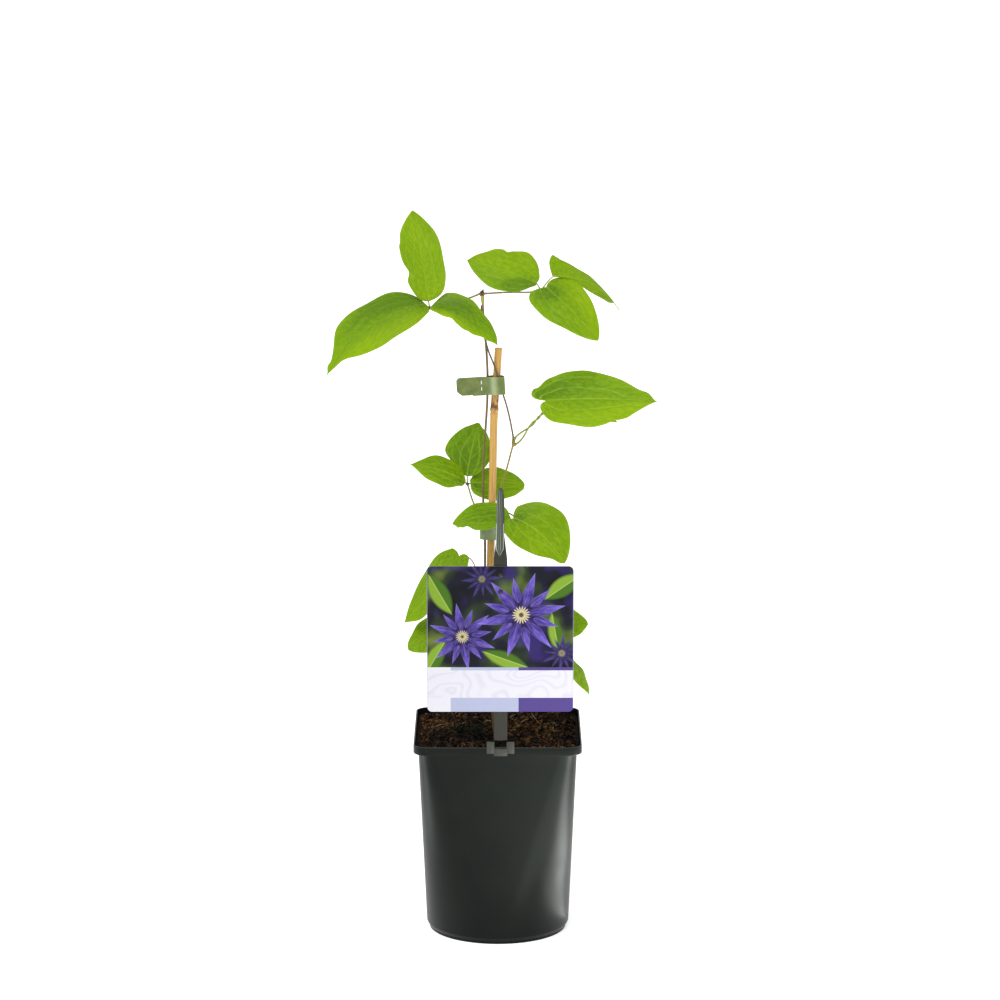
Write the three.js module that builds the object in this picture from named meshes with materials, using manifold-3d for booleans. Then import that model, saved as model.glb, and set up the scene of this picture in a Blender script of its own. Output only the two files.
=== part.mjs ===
// A young clematis in a square-rimmed nursery pot, tied to one bamboo cane,
// with a label card held up in front by a plastic holder that clips on the rim.
//
// Millimetres, +Z up. The origin is the middle of the pot's underside, the front of the pot
// (the side with the label) faces -Y, and +X is to the right of somebody who reads the label.

import * as THREE from 'three';
import { mergeVertices } from 'three/addons/utils/BufferGeometryUtils.js';
import Module from 'manifold-3d';

const wasm = await Module();
wasm.setup();

// ---------------------------------------------------------------- driving dimensions

const CLEARANCE = 0.3; // between two pieces that touch on the real plant

const POT = {
  rimHalf: 65, // half the width of the square rim
  rimCorner: 11,
  rimHeight: 7,
  height: 160.6,
  bodyHalf: 61.3, // half width right under the rim
  bodyCorner: 14,
  footRadius: 53.8,
  heelRadius: 55.5,
  heelHeight: 5,
  heelStep: 3, // height of the slope between the foot ring and the body
  ledgeSlope: 0.8, // how far the ledge under the rim rises towards the outside
  wall: 1.2,
  floor: 1.6,
  baseLift: 2, // the underside is raised between the middle and the foot ring
  middleRadius: 14,
  footRingWidth: 7.8,
  drainRadius: 4,
  drainCircle: 34,
  drainCount: 8,
};

// the peat rises over the ledge inside the rim, and its top edge falls off by the shoulder
const SOIL = { top: 156.5, bottom: 4, half: 61.6, corner: 12, shoulder: 1.2 };

const CANE_RADIUS = 2.9;
const STEM_RADIUS = 1.0;
const SECOND_STEM_RADIUS = 0.7;
const STALK_RADIUS = 0.6; // leaf stalks
const STALKLET_RADIUS = 0.55; // the short stalk of each leaflet
const BLADE_THICKNESS = 0.8;

const STRAP = { width: 14, thickness: 0.6, slotWidth: 0.7, slotHeight: 2.6, slotOffset: 2.4 };

const CARD = { width: 112, height: 114, thickness: 0.6, corner: 4, middleX: 2, bottom: 188.9, back: -63.4 };
const HOLDER = {
  middleX: 2.2,
  stripWidth: 10.4,
  stripFront: -63.1,
  sheet: 1.0, // thickness of the holder's plastic
  bottom: 155.6,
  tongueWidth: 6.4,
  taperFrom: 302,
  taperTo: 320,
  top: 363.6,
  tongueFront: -65.4,
  tipHeight: 310.5,
  tipLength: 6,
  clipWidth: 21.8,
  clipBottom: 154.3,
  clipTop: 165.5,
  windowBottom: 160.6,
  windowTop: 166.6,
  windowWidth: 9.2,
  studHeights: [283, 296],
  studRadius: 1.1,
  studHead: 1.8,
  studHeadThickness: 0.7,
};

// ---------------------------------------------------------------- mesh helpers

const MERGE_DISTANCE = 1e-4;
const ROUND_SIDES = 12; // of a small round hole or stud
const CURVE_SEGMENTS = 6; // of each arc in an outline

/** A closed geometry from corner points and index triples, turned so that its faces point out. */
function closedGeometry(points, triangles) {
  let volume = 0;
  for (const [a, b, c] of triangles) {
    volume += points[a].dot(new THREE.Vector3().crossVectors(points[b], points[c]));
  }
  const outward = volume > 0 ? triangles : triangles.map(([a, b, c]) => [a, c, b]);
  const geometry = new THREE.BufferGeometry();
  geometry.setAttribute('position', new THREE.Float32BufferAttribute(points.flatMap((p) => p.toArray()), 3));
  geometry.setIndex(outward.flat());
  return geometry;
}

/** A solid from a closed geometry, with only its positions kept and shared corners merged. */
function toSolid(geometry) {
  const bare = geometry.clone();
  bare.deleteAttribute('normal');
  bare.deleteAttribute('uv');
  const merged = mergeVertices(bare, MERGE_DISTANCE);
  return new wasm.Manifold(new wasm.Mesh({
    numProp: 3,
    vertProperties: new Float32Array(merged.attributes.position.array),
    triVerts: new Uint32Array(merged.index.array),
  }));
}

function toGeometry(solid) {
  const { vertProperties, triVerts } = solid.getMesh();
  const geometry = new THREE.BufferGeometry();
  geometry.setAttribute('position', new THREE.Float32BufferAttribute(vertProperties, 3));
  geometry.setIndex(Array.from(triVerts));
  return geometry;
}

const fuse = (geometries) => geometries.map(toSolid).reduce((whole, next) => whole.add(next));

/** Rings of equal point count, joined by side faces and closed by a fan at each end. */
function loft(rings, startPole, endPole) {
  const count = rings[0].length;
  const points = [...rings.flat(), startPole, endPole];
  const start = points.length - 2;
  const end = points.length - 1;
  const triangles = [];
  for (let k = 0; k < count; k += 1) {
    const next = (k + 1) % count;
    triangles.push([start, next, k]);
    for (let ring = 0; ring < rings.length - 1; ring += 1) {
      const low = ring * count;
      const high = low + count;
      triangles.push([low + k, low + next, high + next], [low + k, high + next, high + k]);
    }
    const last = (rings.length - 1) * count;
    triangles.push([end, last + k, last + next]);
  }
  return closedGeometry(points, triangles);
}

/** A round rod along a smooth curve through the points; radius(u) gives its radius from start 0 to end 1. */
function rod(points, radius, sides, steps) {
  const curve = new THREE.CatmullRomCurve3(points.map((p) => new THREE.Vector3(...p)), false, 'centripetal');
  const { normals, binormals } = curve.computeFrenetFrames(steps, false);
  const rings = normals.map((normal, step) => {
    const middle = curve.getPointAt(step / steps);
    return Array.from({ length: sides }, (_, side) => {
      const angle = (2 * Math.PI * side) / sides;
      return middle.clone()
        .addScaledVector(normal, radius(step / steps) * Math.cos(angle))
        .addScaledVector(binormals[step], radius(step / steps) * Math.sin(angle));
    });
  });
  return loft(rings, curve.getPointAt(0), curve.getPointAt(1));
}

/** A box from its lowest to its highest corner. */
function block([x0, y0, z0], [x1, y1, z1]) {
  const geometry = new THREE.BoxGeometry(x1 - x0, y1 - y0, z1 - z0);
  return geometry.translate((x0 + x1) / 2, (y0 + y1) / 2, (z0 + z1) / 2);
}

const extruded = (shape, depth) => new THREE.ExtrudeGeometry(shape, {
  depth, bevelEnabled: false, curveSegments: CURVE_SEGMENTS,
});

/** A plate that stands in the XZ plane: a front-view outline, given thickness towards +Y from yFront. */
function standingPlate(shape, yFront, thickness) {
  const geometry = extruded(shape, thickness);
  return geometry.rotateX(Math.PI / 2).translate(0, yFront + thickness, 0);
}

/** A cylinder along Y. */
function pegAlongY(x, z, radius, yFront, yBack) {
  const geometry = new THREE.CylinderGeometry(radius, radius, yBack - yFront, ROUND_SIDES);
  return geometry.translate(x, (yFront + yBack) / 2, z);
}

// ---------------------------------------------------------------- pot and soil

const CORNER_STEPS = 6;
const SHORTEST_SIDE = 0.8; // even a round ring keeps four straight stretches of this length

/** A square with round corners, level at height z; a corner radius near the half width makes it a circle. */
function squareRing(half, corner, z) {
  const radius = Math.min(corner, half - SHORTEST_SIDE / 2);
  const ring = [];
  for (let quarter = 0; quarter < 4; quarter += 1) {
    const middle = (Math.PI / 2) * quarter + Math.PI / 4;
    const centreX = Math.sign(Math.cos(middle)) * (half - radius);
    const centreY = Math.sign(Math.sin(middle)) * (half - radius);
    for (let step = 0; step <= CORNER_STEPS; step += 1) {
      const angle = (Math.PI / 2) * (quarter + step / CORNER_STEPS);
      ring.push(new THREE.Vector3(centreX + radius * Math.cos(angle), centreY + radius * Math.sin(angle), z));
    }
  }
  return ring;
}

const roundRing = (radius, z) => squareRing(radius, radius, z);

const shelfHeight = POT.height - POT.rimHeight;

/** Half width and corner radius of the pot's outer wall at a height between the heel and the rim. */
function wallAt(z, inset = 0) {
  const share = (z - POT.heelHeight) / (shelfHeight - POT.heelHeight);
  const half = THREE.MathUtils.lerp(POT.heelRadius, POT.bodyHalf, share) - inset;
  const corner = THREE.MathUtils.lerp(POT.heelRadius, POT.bodyCorner, share) - inset;
  return squareRing(half, corner, z);
}

function potGeometry() {
  const { wall, baseLift, height, rimHalf, rimCorner, footRadius, heelHeight } = POT;
  const ringInner = footRadius - POT.footRingWidth;
  const floorTop = baseLift + POT.floor;
  const ledgeLow = shelfHeight - POT.ledgeSlope / 2;
  const ledgeHigh = shelfHeight + POT.ledgeSlope / 2;
  const rings = [
    roundRing(POT.middleRadius, 0),
    roundRing(POT.middleRadius + baseLift, baseLift),
    roundRing(ringInner - baseLift, baseLift),
    roundRing(ringInner, 0),
    roundRing(footRadius, 0),
    roundRing(footRadius, heelHeight - POT.heelStep),
    wallAt(heelHeight),
    wallAt(ledgeLow),
    squareRing(rimHalf, rimCorner, ledgeHigh),
    squareRing(rimHalf, rimCorner, height),
    squareRing(rimHalf - wall, rimCorner - wall, height),
    squareRing(rimHalf - wall, rimCorner - wall, ledgeHigh + wall),
    wallAt(ledgeLow, wall),
    wallAt(heelHeight + wall / 2, wall),
    roundRing(footRadius - wall, floorTop),
  ];
  const shell = toSolid(loft(rings, new THREE.Vector3(0, 0, 0), new THREE.Vector3(0, 0, floorTop)));
  const drains = Array.from({ length: POT.drainCount }, (_, k) => {
    const angle = (2 * Math.PI * (k + 0.5)) / POT.drainCount;
    const hole = new THREE.CylinderGeometry(POT.drainRadius, POT.drainRadius, 2 * floorTop, ROUND_SIDES);
    hole.rotateX(Math.PI / 2);
    return hole.translate(POT.drainCircle * Math.cos(angle), POT.drainCircle * Math.sin(angle), floorTop / 2);
  });
  return toGeometry(drains.map(toSolid).reduce((pot, hole) => pot.subtract(hole), shell));
}

// ---------------------------------------------------------------- cane and stems

// The cane leans a little and kinks at its nodes.
const CANE_PATH = [
  [8, 1.5, 32], [4.8, 1.5, 92], [1.6, 1.5, 150], [-1.9, 0.8, 214], [-5.4, 0, 278],
  [-4.1, 0, 346], [-2.6, 0, 412], [-0.6, 0, 441], [0.7, 0, 461],
];
const CANE_NODES = [{ z: 278, swell: 0.35 }, { z: 412, swell: 0.35 }];

const STEM_PATH = [
  [-2, -3, 112], [-2.6, -3, 150], [-3.8, -2.8, 168], [-6.5, -2, 205], [-9.2, -1.6, 255],
  [-9.8, -1.5, 290], [-9.9, -1, 310], [-10.9, -0.6, 328], [-11.2, -0.3, 345], [-10.9, 0, 375],
  [-9.9, 0, 390], [-8.7, 0, 408], [-7.9, 0, 424], [-7.8, 0, 440], [-8.3, 0, 453],
  [-9.2, 0, 466], [-10.8, 0, 485], [-11.8, 0, 502], [-11.8, 0, 504.6],
];
const STEM_NODES = [{ z: 262, swell: 0.5 }, { z: 328.5, swell: 0.5 }, { z: 502, swell: 0.9 }];

const SECOND_STEM_PATH = [
  [6, -2, 116], [5.2, -3, 150], [4.4, -3.6, 190], [2.6, -4.2, 250], [1.6, -4.4, 290],
  [1.4, -4.4, 318], [1.6, -4, 335], [2.4, -3.5, 352], [6.4, -3, 365], [10.6, -3, 381],
  [12.2, -3, 388], [10.4, -3, 401], [8.3, -3.5, 411], [6.1, -4.1, 419.5], [4.8, -4.3, 423.5],
  [3.8, -4.3, 427.5], [1.8, -4.4, 434], [-0.5, -4.4, 441], [-2.8, -4.3, 448.5], [-7, -3.4, 459],
  [-9.2, -2.4, 466.5], [-12, -1.6, 476], [-13, 0.6, 485], [-12.2, 2.4, 494],
];
const SECOND_STEM_NODES = [{ z: 256, swell: 0.4 }, { z: 333, swell: 0.4 }, { z: 388, swell: 0.7 }];

/** Radius along a rod whose nodes are low round swellings at given heights. */
function nodedRadius(path, base, taper, nodes, reach) {
  const curve = new THREE.CatmullRomCurve3(path.map((p) => new THREE.Vector3(...p)), false, 'centripetal');
  return (u) => {
    const { z } = curve.getPointAt(u);
    const bumps = nodes.map((node) => node.swell * Math.exp(-(((z - node.z) / reach) ** 2)));
    return base * (1 - taper * u) + Math.max(0, ...bumps);
  };
}

const CANE_TAPER = 0.04;
const STEM_TAPER = 0.1;
const SECOND_STEM_TAPER = 0.15;
const CANE_NODE_REACH = 4; // half the length of a node's swelling
const STEM_NODE_REACH = 3;
const caneRadius = nodedRadius(CANE_PATH, CANE_RADIUS, CANE_TAPER, CANE_NODES, CANE_NODE_REACH);
const stemRadius = nodedRadius(STEM_PATH, STEM_RADIUS, STEM_TAPER, STEM_NODES, STEM_NODE_REACH);
const secondStemRadius = nodedRadius(
  SECOND_STEM_PATH, SECOND_STEM_RADIUS, SECOND_STEM_TAPER, SECOND_STEM_NODES, STEM_NODE_REACH,
);

const CANE_SIDES = 10;
const CANE_STEPS = 28;
const STEM_SIDES = 5;
const STEM_STEPS = 52;
const SECOND_STEM_STEPS = 56;
const HOLE_CLEARANCE = 2 * CLEARANCE; // a hole's flat sides lie further in than its corners
const HOLE_STEPS = 8;
const STEM_HOLE_SIDES = 8;

/** The peat: it fills the pot and has a plain hole for the cane and for each stem. */
function soilGeometry() {
  const { top, bottom, half, corner, shoulder } = SOIL;
  const inset = POT.wall + CLEARANCE;
  const rings = [
    roundRing(POT.footRadius - inset - CLEARANCE, bottom),
    wallAt(POT.heelHeight + POT.heelStep, inset),
    wallAt(shelfHeight - POT.ledgeSlope / 2, inset),
    squareRing(half, corner, top - shoulder),
    squareRing(half - shoulder, corner - shoulder, top),
  ];
  const fill = toSolid(loft(rings, new THREE.Vector3(0, 0, bottom), new THREE.Vector3(0, 0, top)));
  const buried = [
    [CANE_PATH, caneRadius, CANE_SIDES],
    [STEM_PATH, stemRadius, STEM_HOLE_SIDES],
    [SECOND_STEM_PATH, secondStemRadius, STEM_HOLE_SIDES],
  ];
  const holes = buried.map(([path, radius, sides]) => {
    const course = path.filter((point, k) => k === 0 || path[k - 1][2] <= top);
    const [x, y, z] = course[0];
    const deeper = [[x, y, z - 2 * HOLE_CLEARANCE], ...course];
    return rod(deeper, () => radius(0) + HOLE_CLEARANCE, sides, HOLE_STEPS);
  });
  return toGeometry(holes.map(toSolid).reduce((peat, hole) => peat.subtract(hole), fill));
}

// ---------------------------------------------------------------- leaves

const ALONG = 14; // steps from the leaflet's base to its tip
const ACROSS = 3; // steps from the midrib to each edge
const WIDEST = 0.45; // where on the outline's course the widest point lies
const CROWDING = 0.55; // how much closer the steps lie at the leaflet's ends than in its middle

function bezier(points, t) {
  const weights = [(1 - t) ** 3, 3 * (1 - t) ** 2 * t, 3 * (1 - t) * t ** 2, t ** 3];
  return [0, 1].map((axis) => weights.reduce((sum, weight, k) => sum + weight * points[k][axis], 0));
}

/**
 * Half of a leaflet's outline as [along, across], both up to 1, at t from base 0 to tip 1.
 * One curve runs from the stalk, round the lobe, to the widest point at belly, another from there to the tip.
 */
function halfOutline({ belly, lobe, point }, t) {
  const [lobeBack, lobeOut] = lobe;
  const [pointBack, pointOut] = point;
  if (t < WIDEST) {
    const rise = 0.35 * belly - 0.6 * lobeBack; // where the curve comes up to the full width
    return bezier([[0, 0], [-lobeBack, lobeOut], [rise, 1], [belly, 1]], t / WIDEST);
  }
  return bezier([[belly, 1], [belly + (1 - belly) / 2, 1], [1 - pointBack, pointOut], [1, 0]],
    (t - WIDEST) / (1 - WIDEST));
}

/** The leaflet's own directions: along its length, to its left, and out of its upper face. */
function leafletFrame(leaflet) {
  const base = new THREE.Vector3(...leaflet.at);
  const along = new THREE.Vector3(...leaflet.tip).sub(base);
  const length = along.length();
  along.normalize();
  const face = new THREE.Vector3(...leaflet.face);
  face.addScaledVector(along, -face.dot(along)).normalize();
  return { base, along, length, face, left: new THREE.Vector3().crossVectors(face, along) };
}

const bow = (a) => 4 * a * (1 - a);

/**
 * How far a leaflet's edge bulges or is nicked at t, as an offset to its left. Each row of edge is the half
 * (left 1, right -1), the place, the half length and how far outwards. It fades to nothing at the rib.
 */
function edgeOffset({ edge = [] }, t, s) {
  const reach = ([half, place, spread, out]) => half * out * s * s * Math.exp(-(((t - place) / spread) ** 2));
  return edge.filter(([half]) => half === Math.sign(s)).reduce((sum, row) => sum + reach(row), 0);
}

/** The point of the midrib at share a of the length: straight from base to tip, and arched up between. */
function midrib(leaflet, a) {
  const { base, along, length, face } = leafletFrame(leaflet);
  return base.clone().addScaledVector(along, a * length).addScaledVector(face, leaflet.arch * bow(a));
}

/**
 * A leaflet's blade, a thin closed shell. A grid runs from rib to edge: each point lies between the rib at
 * t^1.5 and the outline at t. It is arched along its length, folded along the rib, waved towards its edge
 * and twisted about its length at the base. Both faces have the same triangles.
 */
function bladeGeometry(leaflet) {
  const { face, left } = leafletFrame(leaflet);
  const [amplitude, waves, phase] = leaflet.wave;
  const [rippleSize, ripples, rippleStart] = leaflet.ripple ?? [0, 0, 0];
  const surface = (t, s) => {
    const half = s > 0 ? 0 : 1;
    const shape = { belly: leaflet.belly[half], lobe: leaflet.lobe[half], point: leaflet.point };
    const [outAlong, outAcross] = halfOutline(shape, t);
    const rib = t ** 1.5;
    const a = rib + Math.abs(s) * (outAlong - rib);
    const b = Math.abs(s) * outAcross;
    const swell = rippleSize * Math.sin(2 * Math.PI * (ripples * a + rippleStart) + (s > 0 ? 2 : 0));
    const side = Math.sign(s) * b * (leaflet.wide[half] + swell * b) + edgeOffset(leaflet, t, s);
    const lift = leaflet.fold * Math.abs(side)
      + amplitude * Math.sin(2 * Math.PI * (waves * a + phase) + (s > 0 ? 1.3 : 0)) * b * b;
    const turn = THREE.MathUtils.degToRad(leaflet.twist ?? 0) * (1 - a);
    const middle = midrib(leaflet, a);
    const up = face.clone().multiplyScalar(Math.cos(turn)).addScaledVector(left, -Math.sin(turn));
    const across = left.clone().multiplyScalar(Math.cos(turn)).addScaledVector(face, Math.sin(turn));
    return { point: middle.addScaledVector(across, side).addScaledVector(up, lift), up };
  };
  const columns = 2 * ACROSS + 1;
  const nodes = [surface(0, 0)];
  for (let i = 1; i < ALONG; i += 1) {
    const step = i / ALONG;
    const t = step - (CROWDING * Math.sin(2 * Math.PI * step)) / (2 * Math.PI);
    for (let j = 0; j < columns; j += 1) nodes.push(surface(t, j / ACROSS - 1));
  }
  nodes.push(surface(1, 0));
  const tip = nodes.length - 1;
  const at = (i, j) => 1 + (i - 1) * columns + j;
  const upper = [];
  for (let j = 0; j < columns - 1; j += 1) {
    upper.push([0, at(1, j), at(1, j + 1)], [tip, at(ALONG - 1, j + 1), at(ALONG - 1, j)]);
    for (let i = 1; i < ALONG - 1; i += 1) {
      upper.push([at(i, j), at(i + 1, j), at(i + 1, j + 1)], [at(i, j), at(i + 1, j + 1), at(i, j + 1)]);
    }
  }
  const rows = Array.from({ length: ALONG - 1 }, (_, k) => k + 1);
  const rim = [0, ...rows.map((i) => at(i, 0)), tip, ...rows.reverse().map((i) => at(i, columns - 1))];
  const count = nodes.length;
  const walls = rim.flatMap((a, k) => {
    const b = rim[(k + 1) % rim.length];
    return [[a, a + count, b + count], [a, b + count, b]];
  });
  const raise = (amount) => nodes.map(({ point, up }) => point.clone().addScaledVector(up, amount));
  const points = [...raise(BLADE_THICKNESS / 2), ...raise(-BLADE_THICKNESS / 2)];
  const lower = upper.map(([a, b, c]) => [a + count, c + count, b + count]);
  return closedGeometry(points, [...upper, ...lower, ...walls]);
}

// Two stalks from one node wind round each other about a straight line. They start well apart, and their
// first half turn is loose and long.
const TWINE = {
  from: [14, -3.2, 388.7],
  to: [36, -9, 413],
  halfTurns: 3.5,
  shortening: 2.5, // above 1, each turn is shorter than the one before
  radius: 0.9,
  looseness: 1.4,
  looseAt: 0.1,
  looseReach: 0.25,
  points: 22,
};

/** Points of one of the two wound stalks; side is 1 for the one that sets out above, and -1 for the other. */
function twine(side) {
  const from = new THREE.Vector3(...TWINE.from);
  const axis = new THREE.Vector3(...TWINE.to).sub(from);
  const across = new THREE.Vector3().crossVectors(axis, new THREE.Vector3(0, 0, 1)).normalize();
  const upward = new THREE.Vector3().crossVectors(across, axis).normalize();
  return Array.from({ length: TWINE.points }, (_, k) => {
    const t = (k + 1) / TWINE.points;
    const angle = Math.PI * (0.5 + TWINE.halfTurns * t ** TWINE.shortening);
    const loose = TWINE.looseness * Math.exp(-(((t - TWINE.looseAt) / TWINE.looseReach) ** 2));
    const reach = side * (TWINE.radius + loose);
    return from.clone().addScaledVector(axis, t)
      .addScaledVector(across, reach * Math.cos(angle))
      .addScaledVector(upward, reach * Math.sin(angle))
      .toArray();
  });
}

const rounded = [[0.05, 0.5], [0.05, 0.5]];

// Each leaf has a stalk, which starts just off the stem and ends where its leaflets part. A leaflet lies
// between at and tip, its upper side looks towards face, and wide is how far its left and right half reach.
// belly says where each half is widest, lobe how its base reaches back and out, point how it narrows, and
// edge where it bulges or is nicked.
const LEAVES = {
  leaf_top_left: {
    stalk: [[-13.4, -0.3, 503.2], [-21, -3, 500.5], [-36, -14, 498.5], [-51.5, -25, 500.5]],
    leaflets: [
      {
        at: [-53, -24, 503], tip: [-65.6, 14, 565.8], face: [0.1, -0.86, 0.5], wide: [14, 17.5],
        belly: [0.6, 0.34], lobe: [[0.05, 1.1], [0.02, 0.75]], point: [0.06, 0.35],
        arch: 3, fold: 0.1, wave: [1, 2, 0], ripple: [1, 2, 0.4],
        edge: [[1, 0.42, 0.06, 3], [1, 0.325, 0.035, -3.2], [-1, 0.48, 0.08, -2], [-1, 0.66, 0.1, 1.5]],
      },
      {
        at: [-55, -26, 499], tip: [-129, -57, 449], face: [-0.1, -0.5, 0.85], wide: [24, 23],
        belly: [0.5, 0.42], lobe: [[0.02, 0.9], [0.02, 0.9]], point: [0.12, 0.12],
        arch: 15, fold: 0.08, wave: [1.5, 2, 0],
        edge: [
          [-1, 0.67, 0.09, 4], [-1, 0.93, 0.04, 2.5], [1, 0.08, 0.07, -4], [1, 0.2, 0.06, -1.8],
          [1, 0.47, 0.1, 4.8], [1, 0.76, 0.1, -4.2],
        ],
      },
      {
        at: [-49, -27, 498], tip: [0, -46, 470], face: [0.1, -0.5, 0.85], wide: [20, 16],
        belly: [0.22, 0.62], lobe: [[0.04, 0.9], [0.02, 0.5]], point: [0.1, 0.2],
        arch: 13, fold: -0.05, wave: [1.2, 2, 0],
        edge: [
          [1, 0.16, 0.1, 3.5], [1, 0.63, 0.11, -5], [1, 0.9, 0.06, 1.2], [-1, 0.35, 0.035, -3],
          [-1, 0.44, 0.03, 1.5], [-1, 0.67, 0.09, -2.6],
        ],
      },
    ],
  },
  leaf_top_right: {
    stalk: [[-10.2, -0.4, 503.3], [10, -5, 505], [25, -8, 505.5], [33, -8.5, 507]],
    leaflets: [
      {
        at: [30, -10, 513], tip: [-23.5, 3, 528.4], face: [0, -0.8, 0.6], wide: [16, 20],
        belly: [0.5, 0.38], lobe: [[0.03, 0.5], [0.05, 0.7]], point: [0.08, 0.3],
        arch: 3, fold: -0.12, wave: [1, 2, 0], ripple: [1, 2, 0.85],
        edge: [
          [-1, 0.85, 0.12, 1.7], [-1, 0.68, 0.06, 1], [-1, 0.42, 0.08, 3.2], [-1, 0.545, 0.025, -1.6],
          [-1, 0.14, 0.09, -3], [1, 0.17, 0.1, -3.3], [1, 0.4, 0.05, 0.8],
        ],
      },
      {
        at: [37, -12, 510], tip: [76.4, -34, 472], face: [0.1, -0.75, 0.65], wide: [21.5, 20],
        belly: [0.27, 0.2], lobe: [[0.12, 0.5], [0.18, 0.55]], point: [0.03, 0.25],
        arch: 3, fold: -0.12, wave: [1, 2, 0],
        edge: [[1, 0.42, 0.08, 2], [-1, 0.09, 0.07, 1.5], [-1, 0.65, 0.2, -1]],
      },
      {
        at: [42, -8, 518], tip: [94.3, 22, 487], face: [0.2, -0.2, 0.95], wide: [14, 9],
        belly: [0.06, 0.7], lobe: [[0.12, 1.35], [-0.2, 0]], point: [0.3, 0.1],
        arch: 8.5, fold: -0.1, twist: 50, wave: [0.5, 2, 0],
        edge: [
          [1, 0.3, 0.1, 4], [1, 0.42, 0.04, 1.2], [1, 0.58, 0.07, -1.8], [1, 0.87, 0.1, 4.2],
          [-1, 0.42, 0.12, 2.5], [-1, 0.76, 0.13, 3],
        ],
      },
    ],
  },
  leaf_right: {
    stalk: [[13.4, -3.4, 391.2], ...twine(1), [36.6, -10.8, 418]],
    leaflets: [
      {
        at: [38, -12, 422], tip: [122, -30, 424], face: [0, -0.8, 0.6], wide: [24, 25.5],
        belly: [0.33, 0.42], lobe: [[0.34, 0.12], [0.17, 0.08]], point: [0.1, 0.08],
        arch: 4, fold: 0.08, wave: [1.5, 2, 0],
        edge: [
          [1, 0.25, 0.035, -2.8], [1, 0.33, 0.03, -1], [1, 0.43, 0.05, 1.1], [-1, 0.27, 0.07, 1.8],
          [1, 0.55, 0.09, -2], [1, 0.88, 0.07, 2.9], [-1, 0.4, 0.06, -1], [-1, 0.6, 0.03, -1.1],
          [-1, 0.7, 0.04, 1],
        ],
      },
    ],
  },
  leaf_right_partner: {
    stalk: [[13.8, -2.6, 386.2], ...twine(-1), [42, -3, 420]],
    leaflets: [
      {
        at: [48, 4, 424], tip: [93, 8, 401.3], face: [0, -0.8, 0.6], wide: [14, 13],
        belly: [0.33, 0.33], lobe: rounded, point: [0.1, 0.1], arch: 3, fold: 0.1, wave: [1, 2, 0],
      },
    ],
  },
  leaf_middle_left: {
    stalk: [[-12.8, 0.6, 329], [-15, 4, 331.5], [-18.4, 8, 338], [-21.6, 11, 349]],
    leaflets: [
      {
        at: [-25, 11, 354], tip: [-68, 5, 369], face: [0, -0.7, 0.7], wide: [13, 14],
        belly: [0.45, 0.42], lobe: [[0.02, 0.4], [0.02, 0.4]], point: [0.1, 0.15],
        arch: 5, fold: -0.08, wave: [1, 2, 0],
        edge: [[1, 0.25, 0.1, -2.1], [1, 0.08, 0.05, -1.4], [-1, 0.12, 0.08, -1.4], [-1, 0.65, 0.08, 0.6]],
      },
      {
        at: [-24, 14, 358], tip: [-15, 22, 399], face: [-0.3, -0.9, 0.3], wide: [21, 16],
        belly: [0.45, 0.45], lobe: [[0, 0.3], [0, 0.3]], point: [0.03, 0.3],
        arch: 2, fold: -0.06, wave: [1, 2, 0],
        edge: [[1, 0.31, 0.06, -2], [1, 0.4, 0.07, 1.4], [1, 0.87, 0.08, -1.1], [-1, 0.85, 0.07, -1.2]],
      },
      {
        at: [-21, 13, 353], tip: [21, 22, 350], face: [0, -0.7, 0.7], wide: [15, 16],
        belly: [0.42, 0.42], lobe: [[0.05, 0.6], [0.05, 0.6]], point: [0, 0.35],
        arch: 2, fold: -0.1, wave: [1, 2, 0],
        edge: [[1, 0.16, 0.09, -3.5], [1, 0.7, 0.1, 0.9], [-1, 0.9, 0.05, 1]],
      },
    ],
  },
  leaf_pair_left: {
    stalk: [[2.7, -6, 333.8], [4.6, -7.6, 334.2], [6.6, -8, 333.8]],
    leaflets: [
      {
        at: [9, -10.5, 332.1], tip: [-35, -26.5, 328.1], face: [0, -0.7, 0.7], wide: [13, 14],
        belly: [0.4, 0.4], lobe: rounded, point: [0.05, 0.25], arch: 4, fold: -0.12, wave: [1, 2, 0],
        edge: [
          [-1, 0.12, 0.08, 1.5], [-1, 0.45, 0.08, 0.9], [1, 0.71, 0.05, -2.7], [1, 0.87, 0.03, 1.3],
          [1, 0.38, 0.08, -3.5],
        ],
      },
    ],
  },
  leaf_pair_right: {
    stalk: [[2.7, -3.7, 333], [8.4, -5, 332.4], [12.2, -9, 331.2]],
    leaflets: [
      {
        at: [13, -19.5, 331.5], tip: [51.5, -43.5, 301], face: [0.2, -0.7, 0.7], wide: [30, 21],
        belly: [0.3, 0.38], lobe: [[0.36, 0.45], [0.2, 0.2]], point: [0.03, 0.3],
        arch: 8, fold: -0.08, wave: [0.5, 2, 0],
        edge: [
          [1, 0.07, 0.03, 1.5], [1, 0.12, 0.035, 2.4], [1, 0.205, 0.03, -1.2], [-1, 0.08, 0.06, 1.6],
          [-1, 0.77, 0.1, -3],
        ],
      },
    ],
  },
  leaf_lower_left: {
    stalk: [[-11.4, -2.4, 262.6], [-13.4, -3, 269], [-15, -4, 276]],
    leaflets: [
      {
        via: [[-17.4, -6, 290], [-22.3, -9, 298]],
        at: [-30, -12, 300], tip: [-72, -27, 251], face: [-0.2, -0.8, 0.6], wide: [18, 14.5],
        belly: [0.35, 0.3], lobe: [[0.18, 0.08], [0.1, 0.5]], point: [0.1, 0.15],
        arch: 5, fold: 0.08, wave: [1, 2, 0],
        edge: [[1, 0.15, 0.06, 1], [-1, 0.13, 0.06, 2], [-1, 0.6, 0.2, -3.6], [1, 0.83, 0.13, 5]],
      },
      {
        via: [[-24, -8, 266], [-32, -9, 254]],
        at: [-37, -10, 246], tip: [-69, -28, 229], face: [-0.2, -0.8, 0.6], wide: [16, 15],
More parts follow.
